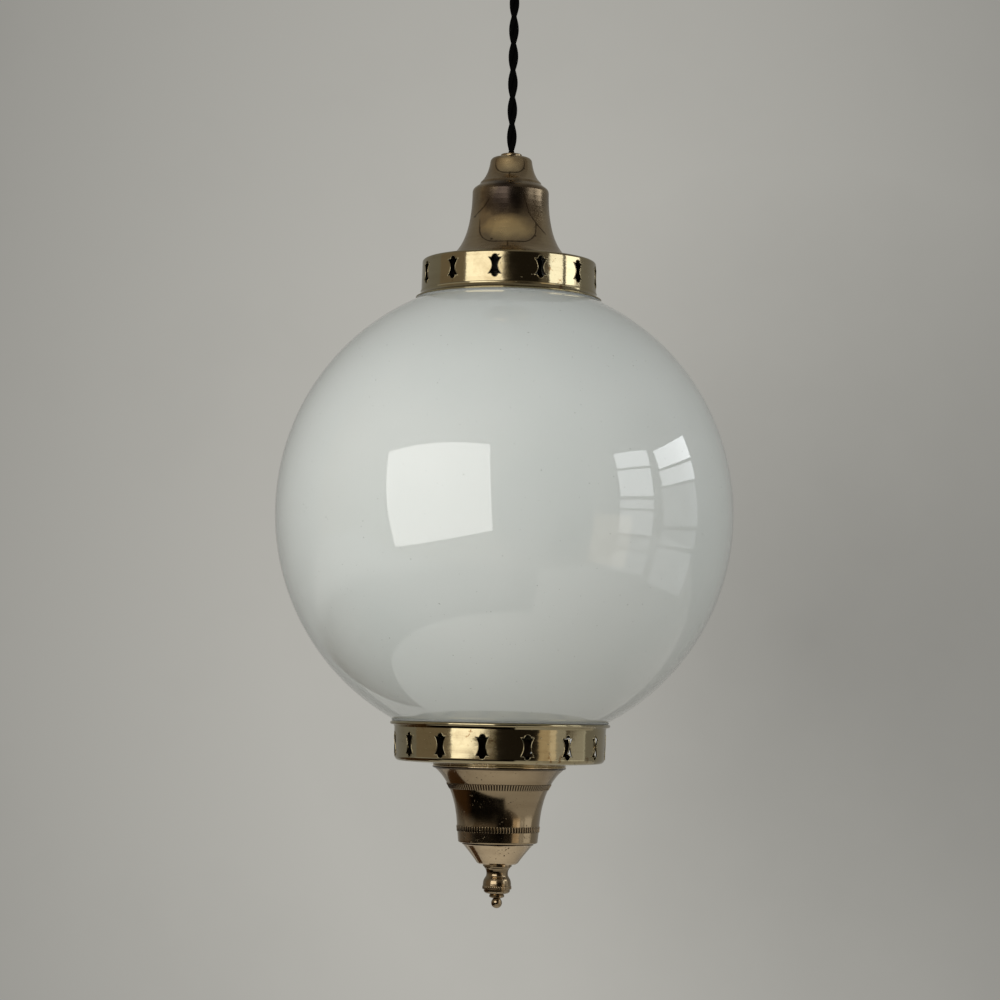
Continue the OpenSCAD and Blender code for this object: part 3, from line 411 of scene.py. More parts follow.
def reflection_loop(tree, middle, half, corner, top):
    """A thin painted reflection line round the lower part of a box with round corners, up to a height."""
    x, z = front_place(tree)
    sides = []
    for value, centre, reach in ((x, middle[0], half[0]), (z, middle[1], half[1])):
        from_centre = maths(tree, "ABSOLUTE", maths(tree, "SUBTRACT", value, centre))
        sides.append(maths(tree, "MAXIMUM", maths(tree, "SUBTRACT", from_centre, reach - corner), 0.0))
    edge = maths(tree, "SUBTRACT", flat_length(tree, *sides), corner)
    return maths(tree, "MULTIPLY", line_at(tree, edge), between(tree, z, top, top - LOOP_FADE))


def reflection_line(tree, one, other, wide):
    """A thin painted reflection line between two places."""
    x, z = front_place(tree)
    here = add(tree, "CombineXYZ", {"X": x, "Y": z}).outputs["Vector"]
    run = Vector((other[0] - one[0], other[1] - one[1], 0))
    start_to_here = vectors(tree, "SUBTRACT", here, (one[0], one[1], 0))
    share = vectors(tree, "DOT_PRODUCT", start_to_here, tuple(run / run.length_squared), "Value")
    share = between(tree, share, 0.0, 1.0)
    nearest = scaled_by(tree, tuple(run), share)
    return line_at(tree, vectors(tree, "DISTANCE", start_to_here, nearest, "Value"), wide)


# Half the height over which dirt and painted shade fade at the edge of a groove
GRIME_AND_SHADE_EDGE = 0.2 * MM


def grime_and_shade(tree, bands):
    """1 between each pair of heights, where dirt stays and painted shade darkens the grooves and the gaps
    among the ribs.
    """
    z = front_place(tree)[1]
    total = 0.0
    for low, high in bands:
        above = between(tree, z, low - GRIME_AND_SHADE_EDGE, low + GRIME_AND_SHADE_EDGE)
        below = between(tree, z, high + GRIME_AND_SHADE_EDGE, high - GRIME_AND_SHADE_EDGE)
        total = added(tree, total, maths(tree, "MULTIPLY", above, below))
    return total


# Scales of the lathe's lines, round the axis and across them: the wide ones and the fine ones
LATHE_LINES = (9, 260)
FINE_LINES = (5, 1100)
PIT_DEPTH = 0.1 * MM
PIT_COLOUR = (0.05, 0.035, 0.02)
# Inner side: raw metal darkened with painted shade
RAW_SHADED_COLOUR = (0.07, 0.05, 0.03)
# Colour of dirt and painted shade in the grooves and among the ribs
GRIME_AND_SHADE_COLOUR = (0.035, 0.025, 0.015)


def spun_metal(tree, colour, dull, rough, pits_from, sway, ridge, normal=None):
    """Lathe lines, small dark pits and a dull dark inner side, raw metal darkened with painted shade, on the
    given colour.
    """
    normal = normal or add(tree, "NewGeometry").outputs["Normal"]
    streaks = turned_lines(tree, *LATHE_LINES)
    pits = between(tree, noise(tree, 620, 2), pits_from, pits_from + 0.04)
    pitted = maths(tree, "MULTIPLY", pits, between(tree, noise(tree, 75, 2), 0.5, 0.62))
    shaded_inner = inner_side(tree)
    colour = blended(tree, pitted, colour, rgba(PIT_COLOUR))
    colour = blended(tree, shaded_inner, colour, rgba(RAW_SHADED_COLOUR))
    rough = added(tree, between(tree, dull, 0, 1, rough, rough + 0.12), pitted)
    rough = added(tree, rough, between(tree, shaded_inner, 0, 1, 0.0, 0.4))
    swayed = swung(tree, turned_lines(tree, *FINE_LINES), sway, normal)
    ridged = bump(tree, streaks, ridge, swayed)
    sunk = bump(tree, between(tree, pitted, 0, 1, 1, 0), PIT_DEPTH, ridged)
    end(tree, Base_Color=colour, Metallic=1.0, Roughness=rough, Normal=sunk)


def tarnished(tree, clean, tarnish, tarnish_from):
    """Cloudy and streaky tarnish: how much there is at each place, and the colour."""
    cloudy = between(tree, noise(tree, 42, 5, 0.6), tarnish_from, tarnish_from + 0.26)
    streaky = between(tree, turned_lines(tree, *LATHE_LINES), 0.52, 0.74, 0.0, 0.35)
    dull = added(tree, cloudy, streaky)
    return dull, blended(tree, dull, rgba(clean), rgba(tarnish))


def bright_brass():
    """Polished brass of the galleries, with brown spots."""
    material, tree = start("bright_brass")
    dull, colour = tarnished(tree, clean=(0.385, 0.33, 0.205), tarnish=(0.26, 0.20, 0.11), tarnish_from=0.56)
    where = between(tree, noise(tree, 30, 2), 0.52, 0.62)
    spots = maths(tree, "MULTIPLY", between(tree, noise(tree, 240, 3), 0.62, 0.70), where)
    colour = blended(tree, spots, colour, rgba((0.20, 0.12, 0.05)))
    spun_metal(tree, colour, dull, rough=0.09, pits_from=0.70, sway=0.02, ridge=0.012 * MM)
    return material


# Pairs of heights over which painted light and shade change: to a painted highlight on the lower bell's pale
# flange, to painted shade on its darker body above its foot, and to painted shade on the finial under it
FLANGE_HIGHLIGHT_FROM = (LOWER_BELL_TOP - 1.2 * MM, LOWER_BELL_TOP - 0.9 * MM)
BODY_SHADE_FROM = (LOWER_BELL_BOTTOM + 13 * MM, LOWER_BELL_BOTTOM + 14 * MM)
FINIAL_SHADE_FROM = (LOWER_BELL_BOTTOM - 0.4 * MM, LOWER_BELL_BOTTOM - 0.6 * MM)
# Heights between which the lower bell's grooves and milled bands lie
FLANGE_GROOVE = (LOWER_BELL_TOP - 2.2 * MM, LOWER_BELL_TOP - 1.2 * MM)
UPPER_MILLING = (LOWER_BELL_TOP - 15.8 * MM, LOWER_BELL_TOP - 12.0 * MM)
LOWER_MILLING = (LOWER_BELL_BOTTOM + 20.9 * MM, LOWER_BELL_BOTTOM + 24.7 * MM)
STEP_GROOVE = (LOWER_BELL_BOTTOM + 12.9 * MM, LOWER_BELL_BOTTOM + 13.5 * MM)


def lower_brass(name, bands, flared):
    """Paler brass of the lower bell and finial, with a painted highlight on the flange, painted shade on the
    body and finial, and dirt with painted shade between the given heights.
    """
    material, tree = start(name)
    dull, colour = tarnished(tree, clean=(0.54, 0.425, 0.28), tarnish=(0.36, 0.27, 0.17), tarnish_from=0.50)
    z = front_place(tree)[1]
    # Painted light by height: a pale painted highlight on the flange, and painted shade on the body above
    # its foot and on the finial
    painted_light_zones = (
        (BODY_SHADE_FROM, 0.5, (0.19, 0.14, 0.075)),
        (FLANGE_HIGHLIGHT_FROM, 1.0, (0.92, 0.82, 0.66)),
        (FINIAL_SHADE_FROM, 0.55, (0.10, 0.07, 0.03)),
    )
    for heights, share, shade in painted_light_zones:
        colour = blended(tree, between(tree, z, *heights, 0.0, share), colour, rgba(shade))
    # Dirt and painted shade in the grooves and among the milled ribs
    colour = blended(tree, grime_and_shade(tree, bands), colour, rgba(GRIME_AND_SHADE_COLOUR))
    curve = flare_normal(tree) if flared else None
    spun_metal(tree, colour, dull, rough=0.12, pits_from=0.655, sway=0.008, ridge=0.004 * MM, normal=curve)
    return material


# Painted reflections on the top bell, in millimetres from the middle of its top. Its patches of painted
# reflection, gold painted highlights and brown painted dark reflections, each over the ones before it: the
# middle, the radii, the share that fades, and the colour
BELL_PAINTED_REFLECTIONS = (
    ((2, -31), (29, 15), 0.4, (0.17, 0.13, 0.085)),
    ((-4, -30), (16, 16), 0.6, (0.06, 0.045, 0.036)),
    ((-1, -51), (19, 10), 0.6, (0.82, 0.63, 0.33)),
    ((-1, -6.5), (10, 8), 0.7, (0.85, 0.68, 0.40)),
)
# Two loops of thin dark painted reflection lines, drawn as outlines of dried drips: each one's middle, half
# width and half height, corner radius, and top
BELL_REFLECTION_LOOPS = (
    ((-1.5, -48), (18.3, 12.8), 9, -43),
    ((-0.8, -6), (9.4, 6.7), 6, -2),
)
# Short thin dark painted reflection lines, drawn as runs, cracks and ends of drips: each one's two ends, and
# its width beside a loop's outline
BELL_REFLECTION_LINES = (
    ((-1.5, -60.8), (-1.5, -63.4), 1.4),
    ((-1, -12.7), (-1, -15.4), 1.6),
    ((-13.9, -31), (-17, -36), 0.8),
    ((-17, -36), (-23.4, -42), 0.8),
    ((8.6, -28.6), (11.9, -40), 0.8),
    ((11.9, -40), (17.4, -47.6), 1.0),
    ((17.4, -47.6), (23.3, -53.4), 1.0),
    ((-12, -59), (-11.6, -59), 1.8),
    ((16.2, -55.8), (16.6, -55.8), 1.8),
    ((8, -9.4), (8.4, -9.4), 1.6),
    ((-23.4, -42), (-23, -42), 1.6),
)
# Colour and strength of the thin dark painted reflection lines
REFLECTION_LINE_COLOUR = (0.04, 0.025, 0.012)
REFLECTION_LINE_SHARE = 0.75


def on_bell(mark):
    """The place of a mark on the top bell, in metres."""
    return mark[0] * MM, TOP_BELL_TOP + mark[1] * MM


def aged_brass():
    """Dull brass under old lacquer, with painted reflections: gold painted highlights inside thin dark
    painted reflection lines drawn as drip outlines, and brown painted dark reflection between them.
    """
    material, tree = start("aged_brass")
    dull, colour = tarnished(tree, clean=(0.37, 0.29, 0.18), tarnish=(0.29, 0.22, 0.135), tarnish_from=0.44)
    # Painted reflections: gold painted highlights and brown painted dark reflections
    for middle, radii, fade, shade in BELL_PAINTED_REFLECTIONS:
        patch = blob(tree, on_bell(middle), [r * MM for r in radii], fade)
        colour = blended(tree, patch, colour, rgba(shade))
    # Thin dark painted reflection lines, drawn as drip outlines and cracks
    reflection_marks = 0.0
    for middle, half, corner, top in BELL_REFLECTION_LOOPS:
        outline = reflection_loop(tree, on_bell(middle), [h * MM for h in half], corner * MM, on_bell((0, top))[1])
        reflection_marks = added(tree, reflection_marks, outline)
    for one, other, wide in BELL_REFLECTION_LINES:
        reflection_marks = added(tree, reflection_marks, reflection_line(tree, on_bell(one), on_bell(other), wide))
    colour = blended(tree, maths(tree, "MULTIPLY", reflection_marks, REFLECTION_LINE_SHARE), colour, rgba(REFLECTION_LINE_COLOUR))
    spun_metal(tree, colour, dull, rough=0.20, pits_from=0.72, sway=0.02, ridge=0.006 * MM)
    return material


# The heights over which the globe's foot, hidden in the cup, turns dark with painted shade
CUP_SHADE_FROM = (CUP_RIM_TOP - 3 * MM, CUP_RIM_TOP - 6 * MM)


def opal_glass():
    """Cased opal glass: a milky body under a clear skin, with faint waves from blowing."""
    material, tree = start("opal_glass")
    milk = between(tree, noise(tree, 9, 2), 0.35, 0.65)
    colour = blended(tree, milk, rgba((0.63, 0.665, 0.65)), rgba((0.66, 0.69, 0.675)))
    specks = between(tree, noise(tree, 900, 0), 0.86, 0.88)
    colour = blended(tree, specks, colour, rgba((0.30, 0.33, 0.31)))
    # Painted shade on the globe's foot inside the cup
    shaded_in_cup = between(tree, front_place(tree)[1], *CUP_SHADE_FROM)
    colour = blended(tree, shaded_in_cup, colour, rgba((0.10, 0.095, 0.07)))
    waves = wavering(tree, blown_normal(tree), 7, 0.02)
    end(
        tree, Base_Color=colour, Roughness=0.03, IOR=1.52, Subsurface_Weight=0.35,
        Subsurface_Radius=(1.0, 1.0, 1.0), Subsurface_Scale=0.008, Coat_Weight=0.6, Coat_Roughness=0.02,
        Specular_IOR_Level=0.6, Normal=waves, Coat_Normal=waves,
    )
    return material


def clear_glass():
    material, tree = start("clear_glass")
    rough = spread(tree, noise(tree, 60, 2), 0.0, 0.04)
    end(tree, Base_Color=rgba((0.96, 0.97, 0.96)), Roughness=rough, IOR=1.5, Transmission_Weight=1.0)
    return material


# Height of the grain on the smooth finishes
FINE_RELIEF = 0.03 * MM


def steel():
    """Zinc-plated steel with a crystalline bloom."""
    material, tree = start("steel")
    bloom = noise(tree, 190, 4, 0.6)
    where = between(tree, bloom, 0.35, 0.7)
    colour = blended(tree, where, rgba((0.60, 0.60, 0.58)), rgba((0.40, 0.40, 0.39)))
    rough = spread(tree, bloom, 0.28, 0.46)
    end(tree, Base_Color=colour, Metallic=1.0, Roughness=rough, Normal=bump(tree, bloom, FINE_RELIEF))
    return material


def cap_metal():
    material, tree = start("cap_metal")
    lines = turned_lines(tree, 20, 500)
    colour = blended(tree, lines, rgba((0.74, 0.72, 0.68)), rgba((0.58, 0.56, 0.52)))
    rough = spread(tree, lines, 0.22, 0.38)
    end(tree, Base_Color=colour, Metallic=1.0, Roughness=rough, Normal=bump(tree, lines, FINE_RELIEF))
    return material


def porcelain():
    material, tree = start("porcelain")
    crackle = between(tree, noise(tree, 160, 3), 0.45, 0.7)
    colour = blended(tree, crackle, rgba((0.86, 0.85, 0.80)), rgba((0.80, 0.78, 0.70)))
    waves = bump(tree, noise(tree, 80, 2), 0.15 * MM)
    end(tree, Base_Color=colour, Roughness=0.14, Coat_Weight=0.5, Normal=waves)
    return material


def phenolic():
    """Black moulded phenolic with a faint brown marbling."""
    material, tree = start("phenolic")
    marble = between(tree, noise(tree, 110, 5, 0.65), 0.5, 0.75)
    colour = blended(tree, marble, rgba((0.018, 0.016, 0.015)), rgba((0.05, 0.03, 0.02)))
    rough = spread(tree, noise(tree, 260, 3), 0.22, 0.4)
    end(tree, Base_Color=colour, Roughness=rough, Normal=bump(tree, noise(tree, 300, 2), FINE_RELIEF))
    return material


FIBRE_RELIEF = 0.12 * MM


def fabric(name, dark, light, scale, sheen, shine):
    """Yarn or felt: short fibres lighter than the ground, with a soft sheen."""
    material, tree = start(name)
    fibres = noise(tree, scale, 6, 0.7)
    colour = blended(tree, between(tree, fibres, 0.4, 0.75), rgba(dark), rgba(light))
    end(
        tree, Base_Color=colour, Roughness=0.9, Sheen_Weight=sheen, Sheen_Roughness=0.5,
        Specular_IOR_Level=shine, Normal=bump(tree, fibres, FIBRE_RELIEF),
    )
    return material


def core_insulation():
    material, tree = start("core_insulation")
    worn = between(tree, noise(tree, 220, 4), 0.4, 0.7)
    colour = blended(tree, worn, rgba((0.16, 0.10, 0.06)), rgba((0.26, 0.18, 0.11)))
    end(tree, Base_Color=colour, Roughness=0.55, Normal=bump(tree, worn, FINE_RELIEF))
    return material


# Grooves and milled bands that get dirt and painted shade
SHADED_DIRTY_BANDS = [FLANGE_GROOVE, UPPER_MILLING, LOWER_MILLING, STEP_GROOVE]
FINISHES = {
    "bright_brass": bright_brass(),
    "lower_brass": lower_brass("lower_brass", SHADED_DIRTY_BANDS, flared=True),
    "aged_brass": aged_brass(),
    "opal_glass": opal_glass(),
    "clear_glass": clear_glass(),
    "steel": steel(),
    "porcelain": porcelain(),
    "black_phenolic": phenolic(),
    "braided_flex": fabric(
        "braided_flex", dark=(0.001, 0.001, 0.001), light=(0.0025, 0.0024, 0.0022), scale=1400, sheen=0.0,
        shine=0.04,
    ),
    "core_insulation": core_insulation(),
    "felt": fabric(
        "felt", dark=(0.26, 0.27, 0.26), light=(0.36, 0.37, 0.36), scale=700, sheen=0.3, shine=0.2
    ),
    "cap_metal": cap_metal(),
}


def dress(piece, slot_name):
    piece.data.materials.clear()
    piece.data.materials.append(FINISHES[slot_name])


for part in frame["record"]["subparts"]:
    node_object = bpy.data.objects[part["node"]]
    for material_slot in node_object.material_slots:
        material_slot.material = FINISHES[part["material_slot"]]
dress(flex_piece, "braided_flex")


# Milled bands: small upright ribs side by side round a turned piece. A rib takes a share of its pitch,
# and its relief rises and falls across it and along it, each (place, share of the relief)
RIB_RELIEF = 0.12 * MM
RIB_SINK = 0.15 * MM
RIB_SHARE = 0.56
RIB_ACROSS = [(-0.5, 0.0), (-0.4, 0.9), (0.0, 1.0), (0.4, 0.9), (0.5, 0.0)]
RIB_ALONG = [(0.0, 0.0), (0.03, 0.9), (0.08, 1.0), (0.92, 1.0), (0.97, 0.9), (1.0, 0.0)]
WORN_BRASS = lower_brass("worn_brass", [], flared=False)


def milled_band(name, body, count, low, high):
    """low and high are the (radius, height) of the band's two edges."""
    points, faces = [], []
    pitch = 2 * math.pi / count
    width = len(RIB_ACROSS)
    for i in range(count):
        first = len(points)
        for share, lift in RIB_ALONG:
            r = low[0] + (high[0] - low[0]) * share
            z = low[1] + (high[1] - low[1]) * share
            for across, rise in RIB_ACROSS:
                angle = i * pitch + across * pitch * RIB_SHARE
                far = r - RIB_SINK + (RIB_SINK + RIB_RELIEF) * rise * lift
                points.append((far * math.cos(angle), far * math.sin(angle), z))
        for row in range(len(RIB_ALONG) - 1):
            for k in range(width - 1):
                a = first + row * width + k
                faces.append((a, a + 1, a + 1 + width, a + width))
        last = first + (len(RIB_ALONG) - 1) * width
        faces.append([first + k for k in reversed(range(width))])
        faces.append([last + k for k in range(width)])
        back = [first + row * width for row in range(len(RIB_ALONG))]
        front = [b + width - 1 for b in back]
        faces.append(back + front[::-1])
    band = make_mesh(name, points, faces)
    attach(band, body)
    band.data.materials.append(WORN_BRASS)


FINIAL_BAND_R = 9.35 * MM
FINIAL_BAND_LOW = FINIAL_TOP - 14.4 * MM
FINIAL_BAND_HIGH = FINIAL_TOP - 12.6 * MM
milled_band(
    "lower_bell_upper_milling", "lamp", count=119,
    low=(32.2 * MM, UPPER_MILLING[0]), high=(34.3 * MM, UPPER_MILLING[1]),
)
milled_band(
    "lower_bell_lower_milling", "lamp", count=87,
    low=(26.75 * MM, LOWER_MILLING[0]), high=(27.05 * MM, LOWER_MILLING[1]),
)
milled_band(
    "finial_milling", "finial", count=40,
    low=(FINIAL_BAND_R, FINIAL_BAND_LOW), high=(FINIAL_BAND_R, FINIAL_BAND_HIGH),
)


# Bright edges of the cut-outs: a thin round lip along each outline. A cut-out has a narrow waist and
# flares to its ends, and a round knob closes each end, with a short neck before it
SIDE_STEPS = 6
NECK_SHARE = 1.08
NECK_DROP = 0.15 * MM
KNOB_SHARE = 0.46
KNOB_H = 2 * MM
KNOB_ANGLES = (15, 35, 55, 75, 90)
LIP_R = 0.24 * MM
LIP_SIDES = 8


def cut_quarter(width, waist, height):
    """A quarter of a cut-out's outline, from its waist to the top of its knob."""
    corner = height / 2 - KNOB_H
    knob_r = KNOB_SHARE * width / 2
    side = []
    for i in range(SIDE_STEPS + 1):
        half = waist / 2 + (width - waist) / 2 * (i / SIDE_STEPS) ** 2
        side.append((half, corner * i / SIDE_STEPS))
    neck = [(knob_r * NECK_SHARE, corner - NECK_DROP)]
    angles = [math.radians(angle) for angle in KNOB_ANGLES]
    knob = [(knob_r * math.cos(angle), corner + KNOB_H * math.sin(angle)) for angle in angles]
    return side + neck + knob


def cut_loop(width, waist, height):
    """The whole outline of a cut-out, as (sideways, upright) from its middle."""
    quarter = cut_quarter(width, waist, height)
    upper = quarter + [(-u, v) for u, v in quarter[-2::-1]]
    return upper + [(u, -v) for u, v in upper[-2:0:-1]]


def lip_round_cuts(name, count, phase, top_r, low_r, top, drop, band_h, sizes):
    """One lip for each cut-out of a gallery, on its band's outer face.

    The first cut-out stands at the phase. The band's radius goes from top_r at its top to low_r at its foot,
    and the cut-outs start at the drop under its top.
    """
    points, faces = [], []
    loop = cut_loop(*sizes)
    middle = top - drop - sizes[2] / 2
    for i in range(count):
        turn = math.radians(phase + 360 * i / count)
        first = len(points)
        centres = []
        for u, v in loop:
            share = (top - middle - v) / band_h
            r = top_r + (low_r - top_r) * share
            local = Vector((u, -math.sqrt(r * r - u * u), middle + v))
            centres.append(Matrix.Rotation(turn, 3, "Z") @ local)
        for k, centre in enumerate(centres):
            ahead = (centres[(k + 1) % len(centres)] - centres[k - 1]).normalized()
            outward = Vector((centre.x, centre.y, 0)).normalized()
            across = ahead.cross(outward).normalized()
            for side in range(LIP_SIDES):
                angle = 2 * math.pi * side / LIP_SIDES
                points.append(centre + LIP_R * (math.cos(angle) * outward + math.sin(angle) * across))
        rings = len(centres)
        for k in range(rings):
            for side in range(LIP_SIDES):
                a = first + k * LIP_SIDES + side
                b = first + k * LIP_SIDES + (side + 1) % LIP_SIDES
                c = first + (k + 1) % rings * LIP_SIDES + (side + 1) % LIP_SIDES
                d = first + (k + 1) % rings * LIP_SIDES + side
                faces.append((a, b, c, d))
    lips = make_mesh(name, points, faces)
    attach(lips, "lamp")
    dress(lips, "bright_brass")


# The width, waist and height of a cut-out
TOP_CUT = (9.2 * MM, 4 * MM, 15 * MM)
CUP_CUT = (9.1 * MM, 4.9 * MM, 16.2 * MM)
lip_round_cuts(
    "top_gallery_cut_lips", count=12, phase=-9.4, top_r=57.2 * MM, low_r=57.6 * MM, top=TOP_GALLERY_TOP,
    drop=3.1 * MM, band_h=21.4 * MM, sizes=TOP_CUT,
)
lip_round_cuts(
    "bottom_gallery_cut_lips", count=15, phase=-9.3, top_r=69 * MM, low_r=68.4 * MM,
    top=CUP_RIM_TOP - 1.25 * MM, drop=5.6 * MM, band_h=24.6 * MM, sizes=CUP_CUT,
)


# Stage: a plain pale floor and wall, and soft lights
WALL_DISTANCE = 3.2
FLOOR_DROP = 1.8
FLOOR_NEAR = -3.12
FLOOR_FAR = 14
# The floor is palest under the lamp, and fades over these distances from it
FLOOR_LIT = (0.88, 0.85, 0.80)
FLOOR_UNLIT = (0.55, 0.53, 0.50)
FLOOR_FADE = (0.42, 1.8)
# The wall is lightest behind the lamp, and dimmest at the right
WALL_LIT = (0.512, 0.502, 0.462)
WALL_UNLIT = (0.268, 0.262, 0.242)
WALL_FADE = 1.23
WALL_FLATTEN = 0.47
DIM_X = 0.55
DIM_RADII = (0.95, 0.85)
DIM_SHARE = 0.33


def wall_glow(tree):
    """The lit wall's brightness from place to place."""
    x, z = front_place(tree)
    up = maths(tree, "SUBTRACT", z, GLOBE.z)
    from_lit = flat_length(tree, x, maths(tree, "MULTIPLY", up, WALL_FLATTEN))
    colour = blended(tree, between(tree, from_lit, 0.0, WALL_FADE), rgba(WALL_LIT), rgba(WALL_UNLIT))
    across = maths(tree, "DIVIDE", maths(tree, "SUBTRACT", x, DIM_X), DIM_RADII[0])
    from_dim = flat_length(tree, across, maths(tree, "DIVIDE", up, DIM_RADII[1]))
    mottle = spread(tree, noise(tree, 3, 4, 0.6), -0.02, 0.02)
    dim = maths(tree, "ADD", between(tree, from_dim, 0.0, 1.0, DIM_SHARE, 0.0), mottle)
    return blended(tree, dim, colour, rgba((0, 0, 0)))


def floor_glow(tree):
    """The lit floor's brightness from place to place."""
    parts = add(tree, "SeparateXYZ", {"Vector": place(tree)}).outputs
    away = between(tree, flat_length(tree, parts["X"], parts["Y"]), *FLOOR_FADE)
    return blended(tree, away, rgba(FLOOR_LIT), rgba(FLOOR_UNLIT))


def lit_paint(name, colour, glow_colour, share):
    """Paint that shows a set brightness, for the given share, to the camera and to what mirrors it."""
    material, tree = start(name)
    paint = add(tree, "BsdfPrincipled", {"Base Color": rgba(colour), "Roughness": 0.9}).outputs["BSDF"]
    glow = add(tree, "Emission", {"Color": glow_colour(tree)}).outputs["Emission"]
    ray = add(tree, "LightPath").outputs
    seen = added(tree, ray["Is Camera Ray"], ray["Is Glossy Ray"])
    seen = added(tree, seen, ray["Is Transmission Ray"])
    mix = add(tree, "MixShader", {0: maths(tree, "MULTIPLY", seen, share), 1: paint, 2: glow})
    out = add(tree, "OutputMaterial")
    tree.links.new(mix.outputs["Shader"], out.inputs["Surface"])
    return material


def make_stage():
    size = FLOOR_FAR
    corners = [(-size, FLOOR_NEAR, 0), (size, FLOOR_NEAR, 0), (size, size, 0), (-size, size, 0)]
    floor = make_mesh("floor", corners, [(0, 1, 2, 3)])
    floor.location = GLOBE - Vector((0, 0, FLOOR_DROP))
    floor.data.materials.append(lit_paint("floor_paint", (0.82, 0.80, 0.76), floor_glow, 0.5))
    wall_y = GLOBE.y + WALL_DISTANCE
    low, high = GLOBE.z - size, GLOBE.z + size
    corners = [(-size, wall_y, low), (size, wall_y, low), (size, wall_y, high), (-size, wall_y, high)]
    wall = make_mesh("wall", corners, [(0, 1, 2, 3)])
    wall.data.materials.append(lit_paint("wall_paint", (0.6, 0.59, 0.56), wall_glow, 1.0))


# A low dark screen before the lamp and round its left side, which shows only in what mirrors it. It goes
# from one azimuth to another, with its heights from the globe's middle, and is brown behind and dark before
SCREEN_DISTANCE = 0.65
SCREEN_FROM, SCREEN_TO = -145, 17
SCREEN_STEPS = 24
SCREEN_TOP = -0.245
SCREEN_FADE = 0.10
SCREEN_LOW_LEFT, SCREEN_LOW_RIGHT = -0.88, -0.67
SCREEN_DARK = (0.006, 0.004, 0.003)
SCREEN_BROWN = (0.12, 0.065, 0.03)
SCREEN_BROWN_FROM = (-0.16, 0.04)


def make_dark_screen():
    points, faces = [], []
    for i in range(SCREEN_STEPS + 1):
        share = i / SCREEN_STEPS
        foot = around(SCREEN_FROM + (SCREEN_TO - SCREEN_FROM) * share, 0, SCREEN_DISTANCE)
        low = SCREEN_LOW_LEFT + (SCREEN_LOW_RIGHT - SCREEN_LOW_LEFT) * share
        points += [foot + Vector((0, 0, low)), foot + Vector((0, 0, SCREEN_TOP))]
        if i:
            faces.append((2 * i - 2, 2 * i, 2 * i + 1, 2 * i - 1))
    screen = make_mesh("dark_screen", points, faces)
    material, tree = start("screen_paint")
    back = add(tree, "SeparateXYZ", {"Vector": place(tree)}).outputs["Y"]
    colour = blended(tree, between(tree, back, *SCREEN_BROWN_FROM), rgba(SCREEN_DARK), rgba(SCREEN_BROWN))
    top = GLOBE.z + SCREEN_TOP
    solid = between(tree, front_place(tree)[1], top, top - SCREEN_FADE)
    end(tree, Base_Color=colour, Roughness=0.9, Specular_IOR_Level=0.0, Alpha=solid)
    screen.data.materials.append(material)
    screen.visible_camera = False
    screen.visible_diffuse = False
    screen.visible_shadow = False
    screen.visible_transmission = False


def soft_light(name, azimuth, elevation, half_width, half_height, distance, radiance, colour, roll=0.0):
    """A rectangular light that faces the globe. Half sizes are in degrees, seen from there."""
    data = bpy.data.lights.new(name, "AREA")
    data.shape = "RECTANGLE"
    data.size = 2 * distance * math.tan(math.radians(half_width))
    data.size_y = 2 * distance * math.tan(math.radians(half_height))
    data.energy = radiance * math.pi * data.size * data.size_y
    data.color = colour
    light = bpy.data.objects.new(name, data)
    bpy.context.collection.objects.link(light)
    spot = around(azimuth, elevation, distance)
    facing = (GLOBE - spot).to_track_quat("-Z", "Y").to_matrix().to_4x4()
    turn = facing @ Matrix.Rotation(math.radians(roll), 4, "Z")
    light.matrix_world = Matrix.Translation(spot) @ turn
    light.visible_camera = False


WARM = (1.0, 0.99, 0.96)
COOL = (0.95, 0.98, 1.0)
GOLDEN = (1.0, 0.80, 0.55)
# The window at the right: two columns, each (azimuth, half width, elevation, half height, roll), and
# their panes from the top down, each (from, to, brightness) with the heights as shares of the column's
WINDOW_COLUMNS = [
    (63.2, 9.3, 0.0, 23.1, 2.7),
    (91.0, 12.4, 0.3, 23.8, 5.0),
]
WINDOW_PANES = [
    [
        (0.00, 0.13, 2.6), (0.15, 0.37, 2.0), (0.40, 0.47, 1.2), (0.49, 0.68, 1.0), (0.71, 0.80, 0.35),
        (0.82, 1.0, 0.38),
    ],
    [(0.00, 0.14, 3.2), (0.16, 0.27, 2.0), (0.29, 0.56, 0.5), (0.59, 0.70, 0.4), (0.73, 1.0, 0.40)],
]
WINDOW_DISTANCE = 1.0


def make_window():
    for column, panes in zip(WINDOW_COLUMNS, WINDOW_PANES):
        azimuth, half_width, middle, half_height, roll = column
        for high, low, radiance in panes:
            elevation = middle + half_height * (1 - high - low)
            pane_half = half_height * (low - high)
            name = "pane_%d_%d" % (azimuth, elevation)
            soft_light(
                name, azimuth, elevation, half_width, pane_half, WINDOW_DISTANCE, radiance, COOL, roll
            )


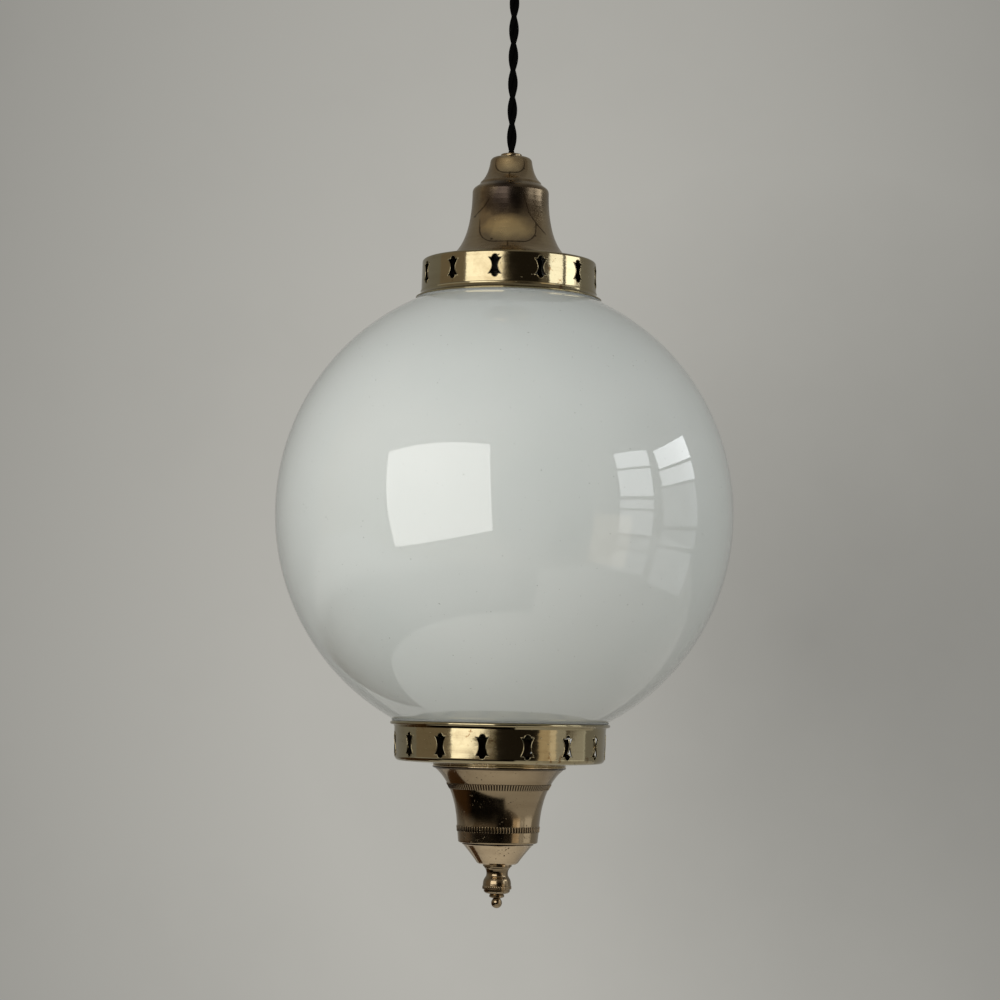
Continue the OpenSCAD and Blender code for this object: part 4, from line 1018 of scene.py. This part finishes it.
def make_lights():
    soft_light(
        "left_light", azimuth=-30.4, elevation=5.7, half_width=24.1, half_height=20.3, distance=0.8,
        radiance=2.5, colour=WARM, roll=6.5,
    )
    soft_light(
        "warm_patch", azimuth=52, elevation=-12, half_width=10, half_height=10, distance=1.4, radiance=0.55,
        colour=GOLDEN,
    )
    make_window()


# The surroundings: how bright they are for soft surfaces, level and upright, and for the brass to mirror, at
# the left, at the right, above and before the lamp, and where that dark part in front has its middle
SOFT_LEVEL = (0.345, 0.345, 0.33)
SOFT_UPRIGHT = (0.60, 0.60, 0.58)
MIRRORED_LEFT = (0.27, 0.225, 0.17)
MIRRORED_RIGHT = (0.17, 0.15, 0.125)
MIRRORED_ABOVE = (0.20, 0.19, 0.175)
MIRRORED_FRONT = (0.02, 0.016, 0.012)
FRONT_AZIMUTH = math.radians(19)


def make_surroundings():
    """Plain and pale for the soft light, dimmer for what mirrors it, and dark in front."""
    world = bpy.data.worlds.new("world")
    world.use_nodes = True
    tree = world.node_tree
    tree.nodes.clear()
    way = add(tree, "TexCoord").outputs["Generated"]
    front = (math.sin(FRONT_AZIMUTH), -math.cos(FRONT_AZIMUTH), 0)
    ahead = vectors(tree, "DOT_PRODUCT", way, front, "Value")
    parts = add(tree, "SeparateXYZ", {"Vector": way}).outputs
    to_right = between(tree, parts["X"], -0.3, 0.5)
    mirrored = blended(tree, to_right, rgba(MIRRORED_LEFT), rgba(MIRRORED_RIGHT))
    mirrored = blended(tree, between(tree, parts["Z"], 0.4, 0.8), mirrored, rgba(MIRRORED_ABOVE))
    mirrored = blended(tree, between(tree, ahead, 0.88, 0.93), mirrored, rgba(MIRRORED_FRONT))
    upright = between(tree, maths(tree, "ABSOLUTE", parts["Z"]), 0.2, 0.9)
    soft = blended(tree, upright, rgba(SOFT_LEVEL), rgba(SOFT_UPRIGHT))
    colour = blended(tree, add(tree, "LightPath").outputs["Is Glossy Ray"], soft, mirrored)
    background = add(tree, "Background", {"Color": colour})
    out = add(tree, "OutputWorld")
    tree.links.new(background.outputs["Background"], out.inputs["Surface"])
    bpy.context.scene.world = world


make_stage()
make_dark_screen()
make_lights()
make_surroundings()
bpy.context.scene.view_settings.view_transform = "Standard"
